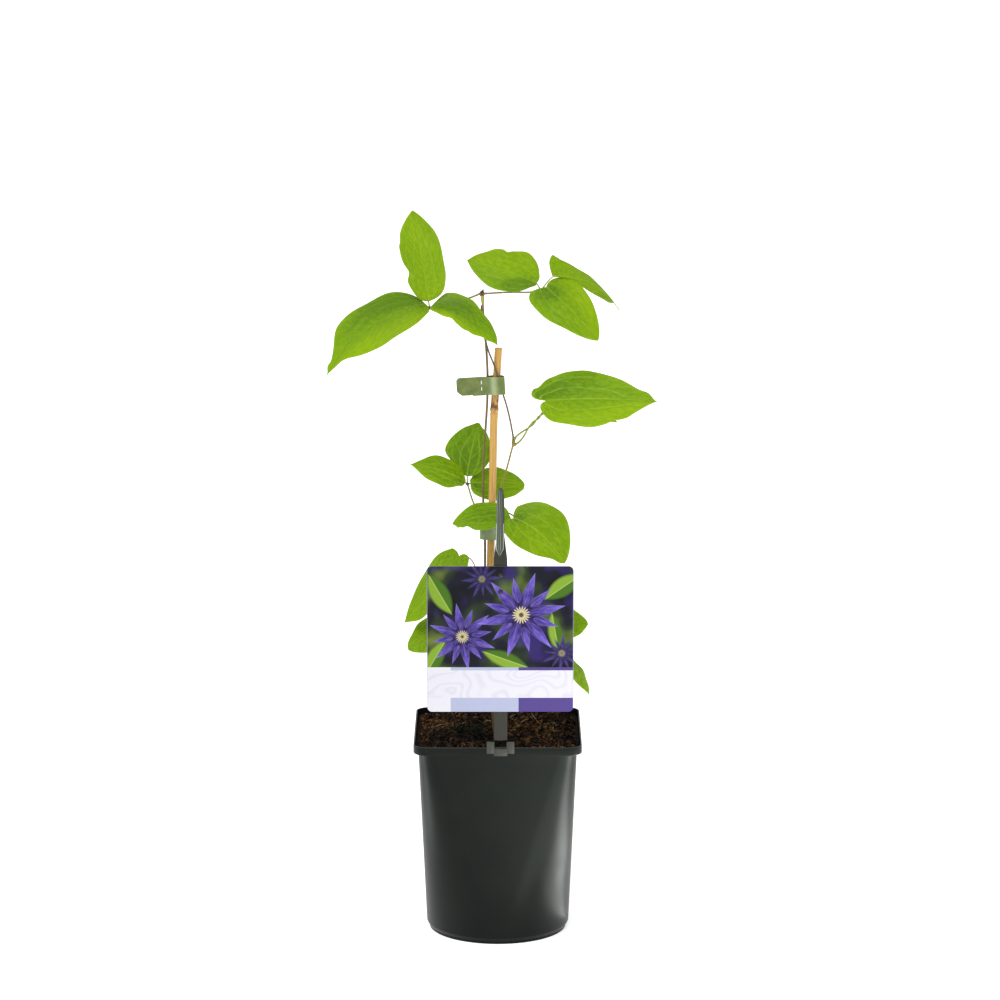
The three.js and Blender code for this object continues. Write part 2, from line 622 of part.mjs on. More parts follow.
        belly: [0.4, 0.4], lobe: rounded, point: [0.03, 0.4], arch: 4, fold: -0.08, wave: [1, 2, 0],
        edge: [[-1, 0.65, 0.15, -2.2]],
      },
      {
        via: [[-17, 4, 274]],
        at: [-21, 14, 268], tip: [-42, 52, 250], face: [-0.3, -0.1, 0.95], wide: [15, 15],
        belly: [0.38, 0.38], lobe: [[0.08, 0.5], [0.08, 0.5]], point: [0.08, 0.2],
        arch: 6, fold: -0.08, wave: [1, 2, 0],
      },
    ],
  },
  leaf_lower_right: {
    stalk: [[3.7, -4.5, 256.2], [9, -4.8, 254.4], [14, -4, 252]],
    leaflets: [
      {
        via: [[18, -4.6, 250.6]],
        at: [24, -5, 249], tip: [70, -22, 248], face: [0.2, -0.8, 0.6], wide: [15, 19],
        belly: [0.42, 0.45], lobe: rounded, point: [0.03, 0.4], arch: 3, fold: -0.08, wave: [1, 2, 0],
        edge: [[1, 0.72, 0.15, -1.2], [-1, 0.82, 0.1, 1.6]],
      },
      {
        via: [[24, 0, 244], [38, 1, 233]],
        at: [49, -5, 224], tip: [71, -22, 192], face: [0.8, -0.35, 0.45], wide: [11, 17],
        belly: [0.4, 0.4], lobe: rounded, point: [0.1, 0.15], arch: 2.5, fold: -0.08, wave: [1, 2, 0],
        edge: [[1, 0.8, 0.15, 2.2], [1, 0.5, 0.08, -0.8]],
      },
      {
        via: [[17, 5, 250]],
        at: [24, 16, 246], tip: [46, 54, 228], face: [0.3, -0.1, 0.95], wide: [15, 15],
        belly: [0.38, 0.38], lobe: [[0.08, 0.5], [0.08, 0.5]], point: [0.08, 0.2],
        arch: 6, fold: -0.08, wave: [1, 2, 0],
      },
    ],
  },
};

const STALK_SIDES = 5;
const RIB_SHARES = [0.01, 0.07, 0.16]; // of the midrib: where the stalk runs along its underside

/** The short stalk of a leaflet: from where the leaflets part to the underside of the midrib's base. */
function stalkletGeometry(start, leaflet) {
  const { face } = leafletFrame(leaflet);
  const under = (a) => midrib(leaflet, a).addScaledVector(face, -BLADE_THICKNESS / 3).toArray();
  const path = [start, ...(leaflet.via ?? []), ...RIB_SHARES.map(under)];
  return rod(path, (u) => STALKLET_RADIUS * (1 - u / 3), STALK_SIDES, path.length + 2);
}

/** A whole leaf in one piece: its stalk, its leaflets' stalks and its blades. */
function leafGeometry({ stalk, leaflets }) {
  const part = stalk[stalk.length - 1];
  return toGeometry(fuse([
    rod(stalk, (u) => STALK_RADIUS * (1 - u / 6), STALK_SIDES, 2 * stalk.length),
    ...leaflets.map((leaflet) => stalkletGeometry(part, leaflet)),
    ...leaflets.map(bladeGeometry),
  ]));
}

// ---------------------------------------------------------------- plant ties

const LOOP_STEPS = 26;

/** A strap's loop, standing on z = 0: a ring of the strap's thickness round a smooth anticlockwise curve. */
function strapLoop(through) {
  const corners = through.map(([x, y]) => new THREE.Vector3(x, y, 0));
  const curve = new THREE.CatmullRomCurve3(corners, true, 'centripetal');
  const ring = (distance) => Array.from({ length: LOOP_STEPS }, (_, k) => {
    const { x, y } = curve.getPointAt(k / LOOP_STEPS);
    const tangent = curve.getTangentAt(k / LOOP_STEPS);
    return new THREE.Vector2(x + tangent.y * distance, y - tangent.x * distance);
  });
  const shape = new THREE.Shape(ring(STRAP.thickness));
  shape.holes.push(new THREE.Path(ring(0)));
  return extruded(shape, STRAP.width);
}

const UPPER_TIE = {
  loop: [
    [-10.4, 0], [-8.3, -1.7], [-4, -4.3], [0, -5.8], [3.5, -5.9], [5.4, -5], [5.2, -2.6],
    [3.2, 1.4], [0.4, 3.5], [-2.6, 3.8], [-5.6, 2.9], [-8.4, 1.6],
  ],
  slotX: -12,
  // the front layer's tail, with chipped corners; its right end lies in the loop's point
  tail: [[-10.7, 0], [-27.3, 0], [-30.9, 2.8], [-31.3, 12], [-29.7, 14], [-10.7, 14]],
  backEnd: -19, // the back layer ends earlier, and hangs a little lower
  backDrop: 0.7,
  bottom: 425.4,
  tilt: 3.5,
};

/** The upper tie: a loop whose two layers meet at the left and run on as a tail with two cut slots. */
function upperTieGeometry() {
  const { width, thickness, slotWidth, slotHeight, slotOffset } = STRAP;
  const { tail, backEnd, backDrop, slotX, bottom, tilt } = UPPER_TIE;
  const outline = new THREE.Shape(tail.map(([x, z]) => new THREE.Vector2(x, z)));
  const front = standingPlate(outline, -thickness, thickness);
  const back = block([backEnd, 0, -backDrop], [tail[0][0], thickness, width - backDrop]);
  const slots = [width / 2 - slotOffset, width / 2 + slotOffset].map((z) => block(
    [slotX - slotWidth / 2, -width, z - slotHeight / 2],
    [slotX + slotWidth / 2, width, z + slotHeight / 2],
  ));
  const layers = fuse([strapLoop(UPPER_TIE.loop), front, back]);
  const tie = toGeometry(slots.map(toSolid).reduce((strap, slot) => strap.subtract(slot), layers));
  return tie.rotateY(-THREE.MathUtils.degToRad(tilt)).translate(0, 0, bottom);
}

const LOWER_TIE = {
  loop: [
    [-13.3, -1], [-11.4, -2.9], [-7, -4.5], [-2, -5.4], [1.5, -5.6], [3, -4.5], [2.9, -2.2],
    [1.6, 1.6], [-1.6, 3.9], [-5, 4.2], [-8.6, 3.2], [-11.6, 1.6],
  ],
  tail: [[0.4, 2.2], [1.9, 20]],
  bottom: 311.2,
};

/** The lower tie: the same strap, with its tail turned to the back. */
function lowerTieGeometry() {
  const [[x0, y0], [x1, y1]] = LOWER_TIE.tail;
  const tail = block([x0, y0, 0], [x1, y1, STRAP.width]);
  return toGeometry(fuse([strapLoop(LOWER_TIE.loop), tail])).translate(0, 0, LOWER_TIE.bottom);
}

// ---------------------------------------------------------------- label card and holder

function roundedRectangle(x0, z0, x1, z1, corner) {
  const shape = new THREE.Shape();
  shape.moveTo(x0 + corner, z0);
  shape.lineTo(x1 - corner, z0);
  shape.absarc(x1 - corner, z0 + corner, corner, -Math.PI / 2, 0);
  shape.absarc(x1 - corner, z1 - corner, corner, 0, Math.PI / 2);
  shape.absarc(x0 + corner, z1 - corner, corner, Math.PI / 2, Math.PI);
  shape.absarc(x0 + corner, z0 + corner, corner, Math.PI, 1.5 * Math.PI);
  return shape;
}

function cardGeometry() {
  const { width, height, thickness, corner, middleX, bottom, back } = CARD;
  const shape = roundedRectangle(middleX - width / 2, bottom, middleX + width / 2, bottom + height, corner);
  for (const z of HOLDER.studHeights) {
    const hole = new THREE.Path();
    hole.absarc(HOLDER.middleX, z, HOLDER.studRadius + HOLE_CLEARANCE, 0, 2 * Math.PI, true);
    shape.holes.push(hole);
  }
  return standingPlate(shape, back - thickness, thickness);
}

/**
 * The holder: a strip that stands behind the card, narrows above it and folds over forwards into a tongue
 * with a pointed end. Low down it has a window, and wings that reach over the pot's rim and down in front.
 */
function holderGeometry() {
  const { middleX, stripWidth, tongueWidth, stripFront, sheet, bottom, top, tongueFront } = HOLDER;
  const wide = stripWidth / 2;
  const narrow = tongueWidth / 2;
  const bendMiddle = (stripFront + sheet + tongueFront) / 2;
  const bendOuter = (stripFront + sheet - tongueFront) / 2;
  const bendTop = top - bendOuter;
  const strip = new THREE.Shape([
    [-wide, bottom], [wide, bottom],
    [wide, HOLDER.taperFrom], [narrow, HOLDER.taperTo], [narrow, bendTop - sheet],
    [-narrow, bendTop - sheet], [-narrow, HOLDER.taperTo], [-wide, HOLDER.taperFrom],
  ].map(([x, z]) => new THREE.Vector2(middleX + x, z)));
  const window = new THREE.Path([
    [-1, HOLDER.windowBottom], [-1, HOLDER.windowTop], [1, HOLDER.windowTop], [1, HOLDER.windowBottom],
  ].map(([side, z]) => new THREE.Vector2(middleX + (side * HOLDER.windowWidth) / 2, z)));
  strip.holes.push(window);

  const hairpin = new THREE.Shape(); // the fold, seen from the side
  hairpin.moveTo(stripFront + sheet, HOLDER.taperTo);
  hairpin.lineTo(stripFront + sheet, bendTop);
  hairpin.absarc(bendMiddle, bendTop, bendOuter, 0, Math.PI);
  hairpin.lineTo(tongueFront, HOLDER.tipHeight);
  hairpin.lineTo(tongueFront + sheet, HOLDER.tipHeight);
  hairpin.lineTo(tongueFront + sheet, bendTop);
  hairpin.absarc(bendMiddle, bendTop, bendOuter - sheet, Math.PI, 0, true);
  hairpin.lineTo(stripFront, HOLDER.taperTo);
  const folded = extruded(hairpin, 2 * tongueWidth).rotateY(Math.PI / 2).rotateX(Math.PI / 2);
  folded.translate(middleX - tongueWidth, 0, 0);

  const frontView = new THREE.Shape();
  frontView.moveTo(middleX, HOLDER.tipHeight);
  frontView.lineTo(middleX + narrow, HOLDER.tipHeight + HOLDER.tipLength);
  frontView.lineTo(middleX + narrow, top - narrow);
  frontView.absarc(middleX, top - narrow, narrow, 0, Math.PI);
  frontView.lineTo(middleX - narrow, HOLDER.tipHeight + HOLDER.tipLength);
  const cutter = standingPlate(frontView, tongueFront - sheet, 4 * bendOuter);
  const tongue = toSolid(folded).intersect(toSolid(cutter));

  const rimFront = -POT.rimHalf - CLEARANCE;
  const shelf = POT.height + CLEARANCE;
  const wing = HOLDER.clipWidth / 2;
  const inside = HOLDER.windowWidth / 2;
  const clip = [-1, 1].flatMap((side) => {
    const [x0, x1] = [middleX + side * inside, middleX + side * wing].sort((a, b) => a - b);
    return [
      block([x0, rimFront - sheet, HOLDER.clipBottom], [x1, rimFront, HOLDER.clipTop]),
      block([x0, rimFront - sheet / 2, shelf], [x1, stripFront + sheet, shelf + sheet]),
    ];
  });
  const lip = block([middleX - wide, rimFront - sheet, HOLDER.clipBottom],
    [middleX + wide, rimFront, HOLDER.windowBottom]);
  const headBack = CARD.back - CARD.thickness - CLEARANCE;
  const headFront = headBack - HOLDER.studHeadThickness;
  const studs = HOLDER.studHeights.flatMap((z) => [
    pegAlongY(middleX, z, HOLDER.studRadius, (headFront + headBack) / 2, stripFront + sheet / 2),
    pegAlongY(middleX, z, HOLDER.studHead, headFront, headBack),
  ]);
  return toGeometry(fuse([standingPlate(strip, stripFront, sheet), ...clip, lip, ...studs]).add(tongue));
}

// ---------------------------------------------------------------- the whole plant

const MATERIALS = {
  potPlastic: new THREE.MeshStandardMaterial({ color: 0x23282a, roughness: 0.42, metalness: 0 }),
  peat: new THREE.MeshStandardMaterial({ color: 0x35231a, roughness: 0.95, metalness: 0 }),
  bamboo: new THREE.MeshStandardMaterial({ color: 0xcf9c55, roughness: 0.5, metalness: 0 }),
  brownStem: new THREE.MeshStandardMaterial({ color: 0x8a5f3c, roughness: 0.6, metalness: 0 }),
  greyStem: new THREE.MeshStandardMaterial({ color: 0x8c8450, roughness: 0.6, metalness: 0 }),
  leaf: new THREE.MeshStandardMaterial({ color: 0x7fab1e, roughness: 0.5, metalness: 0 }),
  strapPlastic: new THREE.MeshStandardMaterial({ color: 0x7f9266, roughness: 0.45, metalness: 0 }),
  holderPlastic: new THREE.MeshStandardMaterial({ color: 0x4a4f4a, roughness: 0.4, metalness: 0 }),
  printedCard: new THREE.MeshStandardMaterial({ color: 0x5a4a90, roughness: 0.3, metalness: 0 }),
};

function piece(name, geometry, material) {
  const mesh = new THREE.Mesh(geometry, material);
  mesh.name = name;
  return mesh;
}

const secondStem = rod(SECOND_STEM_PATH, secondStemRadius, STEM_SIDES, SECOND_STEM_STEPS);

const group = new THREE.Group();
group.add(
  piece('pot', potGeometry(), MATERIALS.potPlastic),
  piece('soil', soilGeometry(), MATERIALS.peat),
  piece('cane', rod(CANE_PATH, caneRadius, CANE_SIDES, CANE_STEPS), MATERIALS.bamboo),
  piece('stem_main', rod(STEM_PATH, stemRadius, STEM_SIDES, STEM_STEPS), MATERIALS.brownStem),
  piece('stem_second', secondStem, MATERIALS.greyStem),
  ...Object.entries(LEAVES).map(([name, leaf]) => piece(name, leafGeometry(leaf), MATERIALS.leaf)),
  piece('tie_upper', upperTieGeometry(), MATERIALS.strapPlastic),
  piece('tie_lower', lowerTieGeometry(), MATERIALS.strapPlastic),
  piece('label_holder', holderGeometry(), MATERIALS.holderPlastic),
  piece('label_card', cardGeometry(), MATERIALS.printedCard),
);

export default group;
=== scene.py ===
# %% [markdown]
# # A young clematis in its nursery pot
#
# The plant is built as a grower makes it up: a thin plastic pot filled with peat, one bamboo cane, two
# stems tied to it with plastic strap, leaves of one to three leaflets on wiry stalks, and a picture card
# in a holder that clips on the rim. The solids that carry everything are loaded first, as a fixed frame.
# Each is then either given a finish, or replaced by a finer surface that keeps to the same place.

# %% Load the frame
import math

import bpy
import numpy as np
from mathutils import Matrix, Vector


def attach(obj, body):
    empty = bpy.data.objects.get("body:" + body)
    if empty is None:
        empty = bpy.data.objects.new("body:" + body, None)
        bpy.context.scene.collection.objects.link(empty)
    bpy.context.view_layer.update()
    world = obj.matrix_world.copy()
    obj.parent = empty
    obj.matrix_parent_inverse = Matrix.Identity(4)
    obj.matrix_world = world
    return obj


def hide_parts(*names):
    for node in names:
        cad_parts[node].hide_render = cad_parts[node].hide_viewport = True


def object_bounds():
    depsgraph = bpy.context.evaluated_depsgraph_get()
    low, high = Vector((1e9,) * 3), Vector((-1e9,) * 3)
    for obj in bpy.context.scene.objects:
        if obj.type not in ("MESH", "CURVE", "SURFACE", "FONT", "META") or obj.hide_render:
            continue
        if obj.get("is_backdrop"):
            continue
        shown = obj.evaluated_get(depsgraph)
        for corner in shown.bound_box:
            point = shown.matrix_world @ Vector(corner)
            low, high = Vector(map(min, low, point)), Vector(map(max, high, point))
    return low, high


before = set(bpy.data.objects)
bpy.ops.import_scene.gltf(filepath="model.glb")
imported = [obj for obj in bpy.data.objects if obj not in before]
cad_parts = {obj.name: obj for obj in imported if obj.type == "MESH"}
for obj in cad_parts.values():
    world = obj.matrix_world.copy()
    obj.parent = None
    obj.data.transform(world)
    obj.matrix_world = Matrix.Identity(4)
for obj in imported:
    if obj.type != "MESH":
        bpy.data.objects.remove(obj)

cad_box = [list(corner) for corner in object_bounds()]
MM = 0.001  # the tables below are in millimetres, and Blender works in metres
print("nodes:", len(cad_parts), "box in metres:", cad_box)

# %% [markdown]
# ## Camera, floor and light
#
# A pack shot of a pot plant is taken from a few metres away with a long lens, so that the pot's sides
# hardly converge, and from a little above, so that the peat shows. The light is that of a white tent:
# white all round, a table top of white acrylic that glows a little and so swallows the shadows, and a
# soft sun high in front on the left, which models the leaves. The pot's corners lean inwards as they go
# down, so what they mirror is the table: a strip of light lies there on each side and draws a streak
# down each corner, a small one by the right foot ends its streak in a glow, and a wide dim panel in front
# makes the right half of the pot's face the lighter one.

# %% Camera
def add_object(name, data, place=(0, 0, 0), turn=(0, 0, 0)):
    """A new object in the scene, at a place and turned by three angles in radians."""
    added = bpy.data.objects.new(name, data)
    added.location = place
    added.rotation_euler = turn
    bpy.context.scene.collection.objects.link(added)
    return added


CAMERA_DISTANCE = 3.0
CAMERA_HEIGHT = 0.925
CAMERA_SIDE = 0.0018
CAMERA_DOWN = math.radians(11.0)
SENSOR_WIDTH = 36
FOCAL_LENGTH = 141.9

camera_data = bpy.data.cameras.new("camera")
camera_data.sensor_width = SENSOR_WIDTH
camera_data.lens = FOCAL_LENGTH
camera = add_object("camera", camera_data, (CAMERA_SIDE, -CAMERA_DISTANCE, CAMERA_HEIGHT),
                    (math.pi / 2 - CAMERA_DOWN, 0, 0))
bpy.context.scene.camera = camera
bpy.context.scene.view_settings.view_transform = "Standard"
print("camera at", tuple(camera.location))


# %% Colours and nodes
def to_linear(colour):
    """An sRGB hex colour as linear red, green, blue and 1: the standard curve, with its straight foot."""
    values = np.array([int(colour[k:k + 2], 16) for k in (1, 3, 5)]) / 255
    linear = np.where(values <= 0.04045, values / 12.92, ((values + 0.055) / 1.055) ** 2.4)
    return (*linear.tolist(), 1.0)


def add_node(tree, kind, inputs=(), stops=(), output=None, **settings):
    """Adds a shader node with its settings and gives the named output, or else its first live one. The
    inputs are named, or a list that fills the live ones in order; each is a value, a hex colour or another
    node's output. The stops of a ramp are shares and hex colours."""
    node = tree.nodes.new("ShaderNode" + kind)
    for key, value in settings.items():
        setattr(node, key, value)
    named = isinstance(inputs, dict)
    sockets = [node.inputs[key] for key in inputs] if named else [s for s in node.inputs if s.enabled]
    for socket, value in zip(sockets, inputs.values() if named else inputs):
        if isinstance(value, bpy.types.NodeSocket):
            tree.links.new(value, socket)
        else:
            socket.default_value = to_linear(value) if isinstance(value, str) else value
    for k, (share, colour) in enumerate(stops):
        elements = node.color_ramp.elements
        element = elements[k] if k < 2 else elements.new(share)
        element.position = share
        element.color = to_linear(colour)
    return node.outputs[output] if output else next(s for s in node.outputs if s.enabled)


def start_material(name, **constants):
    """A new material and its node tree; the constants are the shader's own values."""
    material = bpy.data.materials.new(name)
    material.use_nodes = True
    tree = material.node_tree
    for socket, value in constants.items():
        tree.nodes["Principled BSDF"].inputs[socket.replace("_", " ")].default_value = value
    return material, tree


def link_shader(tree, colour, roughness=None, normal=None):
    """Links what varies over the surface to the shader, and prints how many nodes that took."""
    for socket, value in (("Base Color", colour), ("Roughness", roughness), ("Normal", normal)):
        if value is not None:
            tree.links.new(value, tree.nodes["Principled BSDF"].inputs[socket])
    print("nodes in the material:", len(tree.nodes))


print("pure green becomes", to_linear("#00ff00"))

# %% Floor and light
FLOOR_HALF = 20.0

acrylic, _ = start_material("lit white acrylic", Roughness=0.9, Emission_Strength=0.5,
                            Base_Color=to_linear("#fbfbfb"))
floor_mesh = bpy.data.meshes.new("floor")
floor_corners = [(-FLOOR_HALF, -FLOOR_HALF, 0), (FLOOR_HALF, -FLOOR_HALF, 0),
                 (FLOOR_HALF, FLOOR_HALF, 0), (-FLOOR_HALF, FLOOR_HALF, 0)]
floor_mesh.from_pydata(floor_corners, [], [(0, 1, 2, 3)])
floor_mesh.materials.append(acrylic)
floor = add_object("floor", floor_mesh)
floor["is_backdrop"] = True

world = bpy.data.worlds.new("white tent")
world.use_nodes = True
world.node_tree.nodes["Background"].inputs["Color"].default_value = to_linear("#fdfdff")
world.node_tree.nodes["Background"].inputs["Strength"].default_value = 0.8
bpy.context.scene.world = world

sun_data = bpy.data.lights.new("high_sun", "SUN")
sun_data.energy = 1.25
sun_data.angle = math.radians(40)
add_object("high_sun", sun_data, turn=(math.radians(38), math.radians(-22), 0))

# name, place on the table in metres, length and width in metres, turn in degrees, power in watts
LAMPS = [
    ("left_strip", (-0.3, 0.0, 0.004), (0.18, 0.1), 0, 0.24),
    ("right_strip", (0.25, -0.06, 0.004), (0.26, 0.1), -40, 1.05),
    ("right_foot", (0.125, -0.035, 0.004), (0.1, 0.09), -70, 0.13),
    ("front_panel", (0.16, -0.31, 0.004), (0.26, 0.38), 0, 1.1),
]
for lamp_name, place, size, lamp_turn, power in LAMPS:
    lamp_data = bpy.data.lights.new(lamp_name, "AREA")
    lamp_data.shape = "RECTANGLE"
    lamp_data.size, lamp_data.size_y = size
    lamp_data.energy = power
    add_object(lamp_name, lamp_data, place, (math.pi, 0, math.radians(lamp_turn)))  # it shines upwards
print("lamps:", [row[0] for row in LAMPS])

# %% [markdown]
# ## Surfaces from arrays
#
# Every piece is one or more closed surfaces, each worked out as a whole array of points on a grid of two
# parameters. Three ways of closing a grid are enough for the whole plant. A loft joins rings and closes
# both ends with a fan. A tube is a loft of rings round a smooth route. A shell gives an open sheet a
# thickness and walls along its open edges, holes included. Modifiers could do the last two, but arrays
# let the thickness, the ribs and the radius change from point to point.

# %% Grids, lofts and shells
X_AXIS, Y_AXIS, Z_AXIS = np.eye(3)


def unit(vectors):
    """The vectors at length 1."""
    return vectors / np.linalg.norm(vectors, axis=-1, keepdims=True)


def bell(distance, reach):
    """exp(-(distance / reach)^2): 1 in the middle, and next to nothing from twice the reach on."""
    return np.exp(-((distance / reach) ** 2))


def grid_points(x, y, z):
    """Points from three coordinates, each of which is a number, a row, a column or a whole grid."""
    return np.stack(np.broadcast_arrays(x, y, z), -1)


def grid_quads(rows, columns, wrap=False):
    """Corner numbers of each cell in a grid of points; with wrap, the last column meets the first."""
    i, j = np.meshgrid(np.arange(rows - 1), np.arange(columns if wrap else columns - 1), indexing="ij")
    right = (j + 1) % columns
    cells = [i * columns + j, i * columns + right, (i + 1) * columns + right, (i + 1) * columns + j]
    return np.stack(cells, -1).reshape(-1, 4)


def closed(points, quads, triangles, **values):
    """A closed surface as a dict, turned so that its signed volume, and so its faces, point outwards."""
    triangles = np.asarray(triangles, int).reshape(-1, 3)
    corners = np.concatenate([quads[:, [0, 1, 2]], quads[:, [0, 2, 3]], triangles])
    a, b, c = (points[corners[:, k]] for k in range(3))
    if np.sum(a * np.cross(b, c)) < 0:
        quads, triangles = quads[:, ::-1], triangles[:, ::-1]
    return {"points": points, "quads": quads, "triangles": triangles, "values": values}


def fan(centre, before, after):
    """Triangles from one corner number to each pair out of two rows of them."""
    return np.stack([np.full(len(before), centre), before, after], 1)


def loft(rings, **values):
    """Rings of points (ring, point, xyz) joined into a skin; each end is a fan to the ring's middle."""
    rows, columns, _ = rings.shape
    points = np.concatenate([rings.reshape(-1, 3), rings[[0, -1]].mean(axis=1)])
    start, end = rows * columns, rows * columns + 1
    k = np.arange(columns)
    after = (k + 1) % columns
    last = (rows - 1) * columns
    fans = np.concatenate([fan(start, after, k), fan(end, last + k, last + after)])
    return closed(points, grid_quads(rows, columns, wrap=True), fans, **values)


def shell(middle, up, above, below, quads, triangles=(), **values):
    """A sheet with thickness: middle raised by above and lowered by below along up, and a wall on each
    open edge, which is an edge that only one face has. Points are (point, xyz); above and below (point,)."""
    count = len(middle)
    triangles = np.asarray(triangles, int).reshape(-1, 3)
    points = np.concatenate([middle + up * above[:, None], middle - up * below[:, None]])
    edges = np.concatenate([quads[:, [k, (k + 1) % 4]] for k in range(4)]
                           + [triangles[:, [k, (k + 1) % 3]] for k in range(3)])
    one_way = edges[:, 0] * count + edges[:, 1]
    other_way = edges[:, 1] * count + edges[:, 0]
    a, b = edges[~np.isin(one_way, other_way)].T
    walls = np.stack([a, a + count, b + count, b], 1)
    both = {name: np.concatenate([value, value]) for name, value in values.items()}
    both["under"] = np.repeat([0.0, 1.0], count)
    return closed(points, np.concatenate([quads, quads[:, ::-1] + count, walls]),
                  np.concatenate([triangles, triangles[:, ::-1] + count]), **both)


print("a grid of 3 by 3 points has", len(grid_quads(3, 3)), "cells")


# %% Routes and tubes
ROUTE_STEPS = 40  # points worked out on each stretch of a route before it is spaced evenly


def smooth_route(through, count):
    """Evenly spaced points on a smooth curve through the given ones. Each stretch is a cubic whose end
    slopes come from its neighbours, weighed by the square root of their distances."""
    through = np.asarray(through, float)
    row = np.vstack([2 * through[0] - through[1], through, 2 * through[-1] - through[-2]])
    gap = np.linalg.norm(np.diff(row, axis=0), axis=1)[:, None] ** 0.5
    before, here, after = gap[:-2], gap[1:-1], gap[2:]
    p0, p1, p2, p3 = row[:-3], row[1:-2], row[2:-1], row[3:]
    leave = ((p1 - p0) / before - (p2 - p0) / (before + here) + (p2 - p1) / here) * here
    arrive = ((p2 - p1) / here - (p3 - p1) / (here + after) + (p3 - p2) / after) * here
    t = np.linspace(0, 1, ROUTE_STEPS, endpoint=False)[None, :, None]
    p1, p2, leave, arrive = (v[:, None, :] for v in (p1, p2, leave, arrive))
    curve = ((2 * t**3 - 3 * t**2 + 1) * p1 + (t**3 - 2 * t**2 + t) * leave
             + (3 * t**2 - 2 * t**3) * p2 + (t**3 - t**2) * arrive)
    curve = np.vstack([curve.reshape(-1, through.shape[1]), through[-1]])
    run = np.concatenate([[0], np.cumsum(np.linalg.norm(np.diff(curve, axis=0), axis=1))])
    even = np.linspace(0, run[-1], count)
    return np.stack([np.interp(even, run, column) for column in curve.T], 1)


def round_angles(count):
    """The angles of evenly spaced points on a circle."""
    return np.linspace(0, 2 * np.pi, count, endpoint=False)


def round_rings(centres, radius, angle, side, other):
    """Circles of points: centre + radius (side cos a + other sin a). The radius is one number, or a table
    of rings and points; each direction is one for all rings or one for each."""
    side, other = (np.broadcast_to(way, centres.shape)[:, None] for way in (side, other))
    return (centres[:, None] + (radius * np.cos(angle))[..., None] * side
            + (radius * np.sin(angle))[..., None] * other)


def tube(route, radius, sides, ridges=0, ridge=0.0, **values):
    """Rings round a route: point = route + radius (cos a, sin a) in the plane across the route. The
    radius is one number for each point; with ridges it also grows by ridge where cos(ridges a) is 1."""
    along = unit(np.gradient(route, axis=0))
    reference = np.linalg.svd(along, full_matrices=True)[2][-1]  # the direction the route follows least
    side = unit(reference - (along @ reference)[:, None] * along)
    angle = round_angles(sides)
    reach = np.asarray(radius)[:, None] * (1 + ridge * np.cos(ridges * angle))
    return loft(round_rings(route, reach, angle, side, np.cross(along, side)), **values)


def bumps(heights, marks, reach):
    """Round swellings along a route: the largest of size * exp(-((z - mark) / reach)^2), or 0."""
    marks = np.asarray(marks, float).reshape(-1, 2)
    return (marks[:, 1] * bell(heights[:, None] - marks[:, 0], reach)).max(axis=1)


test_route = smooth_route([(0, 0, 0), (3, 0, 4), (6, 0, 8)], 5)
print("a straight route's points are", test_route[:, 0], test_route[:, 2])


# %% Pieces
def make_piece(name, surfaces, materials, slot, *nodes, sharp_degrees=None):
    """One object from closed surfaces in millimetres. Each surface is (surface, number of its material).
    The slot is not used.
    It rides on the plant's one body and stands for the nodes."""
    starts = np.cumsum([0] + [len(s["points"]) for s, _ in surfaces])
    points = np.concatenate([s["points"] for s, _ in surfaces]) * MM
    quads = np.concatenate([s["quads"] + start for (s, _), start in zip(surfaces, starts)])
    triangles = np.concatenate([s["triangles"] + start for (s, _), start in zip(surfaces, starts)])
    mesh = bpy.data.meshes.new(name)
    mesh.from_pydata(points, [], quads.tolist() + triangles.tolist())
    numbers = np.concatenate([np.full(len(s["quads"]), m) for s, m in surfaces]
                             + [np.full(len(s["triangles"]), m) for s, m in surfaces])
    mesh.polygons.foreach_set("material_index", numbers.astype(np.int32))
    for key in sorted({key for s, _ in surfaces for key in s["values"]}):
        column = np.concatenate([np.broadcast_to(s["values"].get(key, 0.0), len(s["points"]))
                                 for s, _ in surfaces])
        mesh.attributes.new(key, "FLOAT", "POINT").data.foreach_set("value", column.astype(np.float32))
    for material in materials:
        mesh.materials.append(material)
    mesh.polygons.foreach_set("use_smooth", np.ones(len(mesh.polygons), bool))
    if sharp_degrees:
        mesh.set_sharp_from_angle(angle=math.radians(sharp_degrees))
    piece = add_object(name, mesh)
    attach(piece, "root")
    if nodes:
        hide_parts(*nodes)
    print(f"{name}: {2 * len(quads) + len(triangles)} triangles")
    return piece


# %% [markdown]
# ## The pot
#
# A nursery pot is injection moulded in black recycled polypropylene. It is square at the rim, so that
# pots stand close on a trolley, and round at the foot. Its walls are a millimetre thick, a square rim
# stands out over a ledge, and the foot is stepped in so that pots nest. One row of numbers describes a
# level outline: half width, corner radius and height. The whole pot is a profile of such rows, from the
# middle of the underside out, up the wall, over the rim and down inside. Each corner of the profile is
# replaced by a small curve, because a moulded edge is never quite sharp.

# %% Pot dimensions
POT_RIM_HALF, POT_RIM_CORNER, POT_HEIGHT = 65.0, 11.0, 160.6
POT_BODY_HALF, POT_BODY_CORNER, POT_LEDGE = 61.3, 14.0, 153.6
POT_HEEL_RADIUS, POT_HEEL_HEIGHT, POT_FOOT_RADIUS = 55.9, 5.0, 53.8
POT_WALL = 1.2
POT_LIFT = 2.0  # the floor is raised between the middle and the foot ring
POT_FLOOR_TOP = 3.6
DRAIN_RADIUS, DRAIN_CIRCLE, DRAIN_COUNT = 4.0, 34.0, 8
CORNER_POINTS = 18
print("rim", 2 * POT_RIM_HALF, "mm wide, pot", POT_HEIGHT, "mm high")


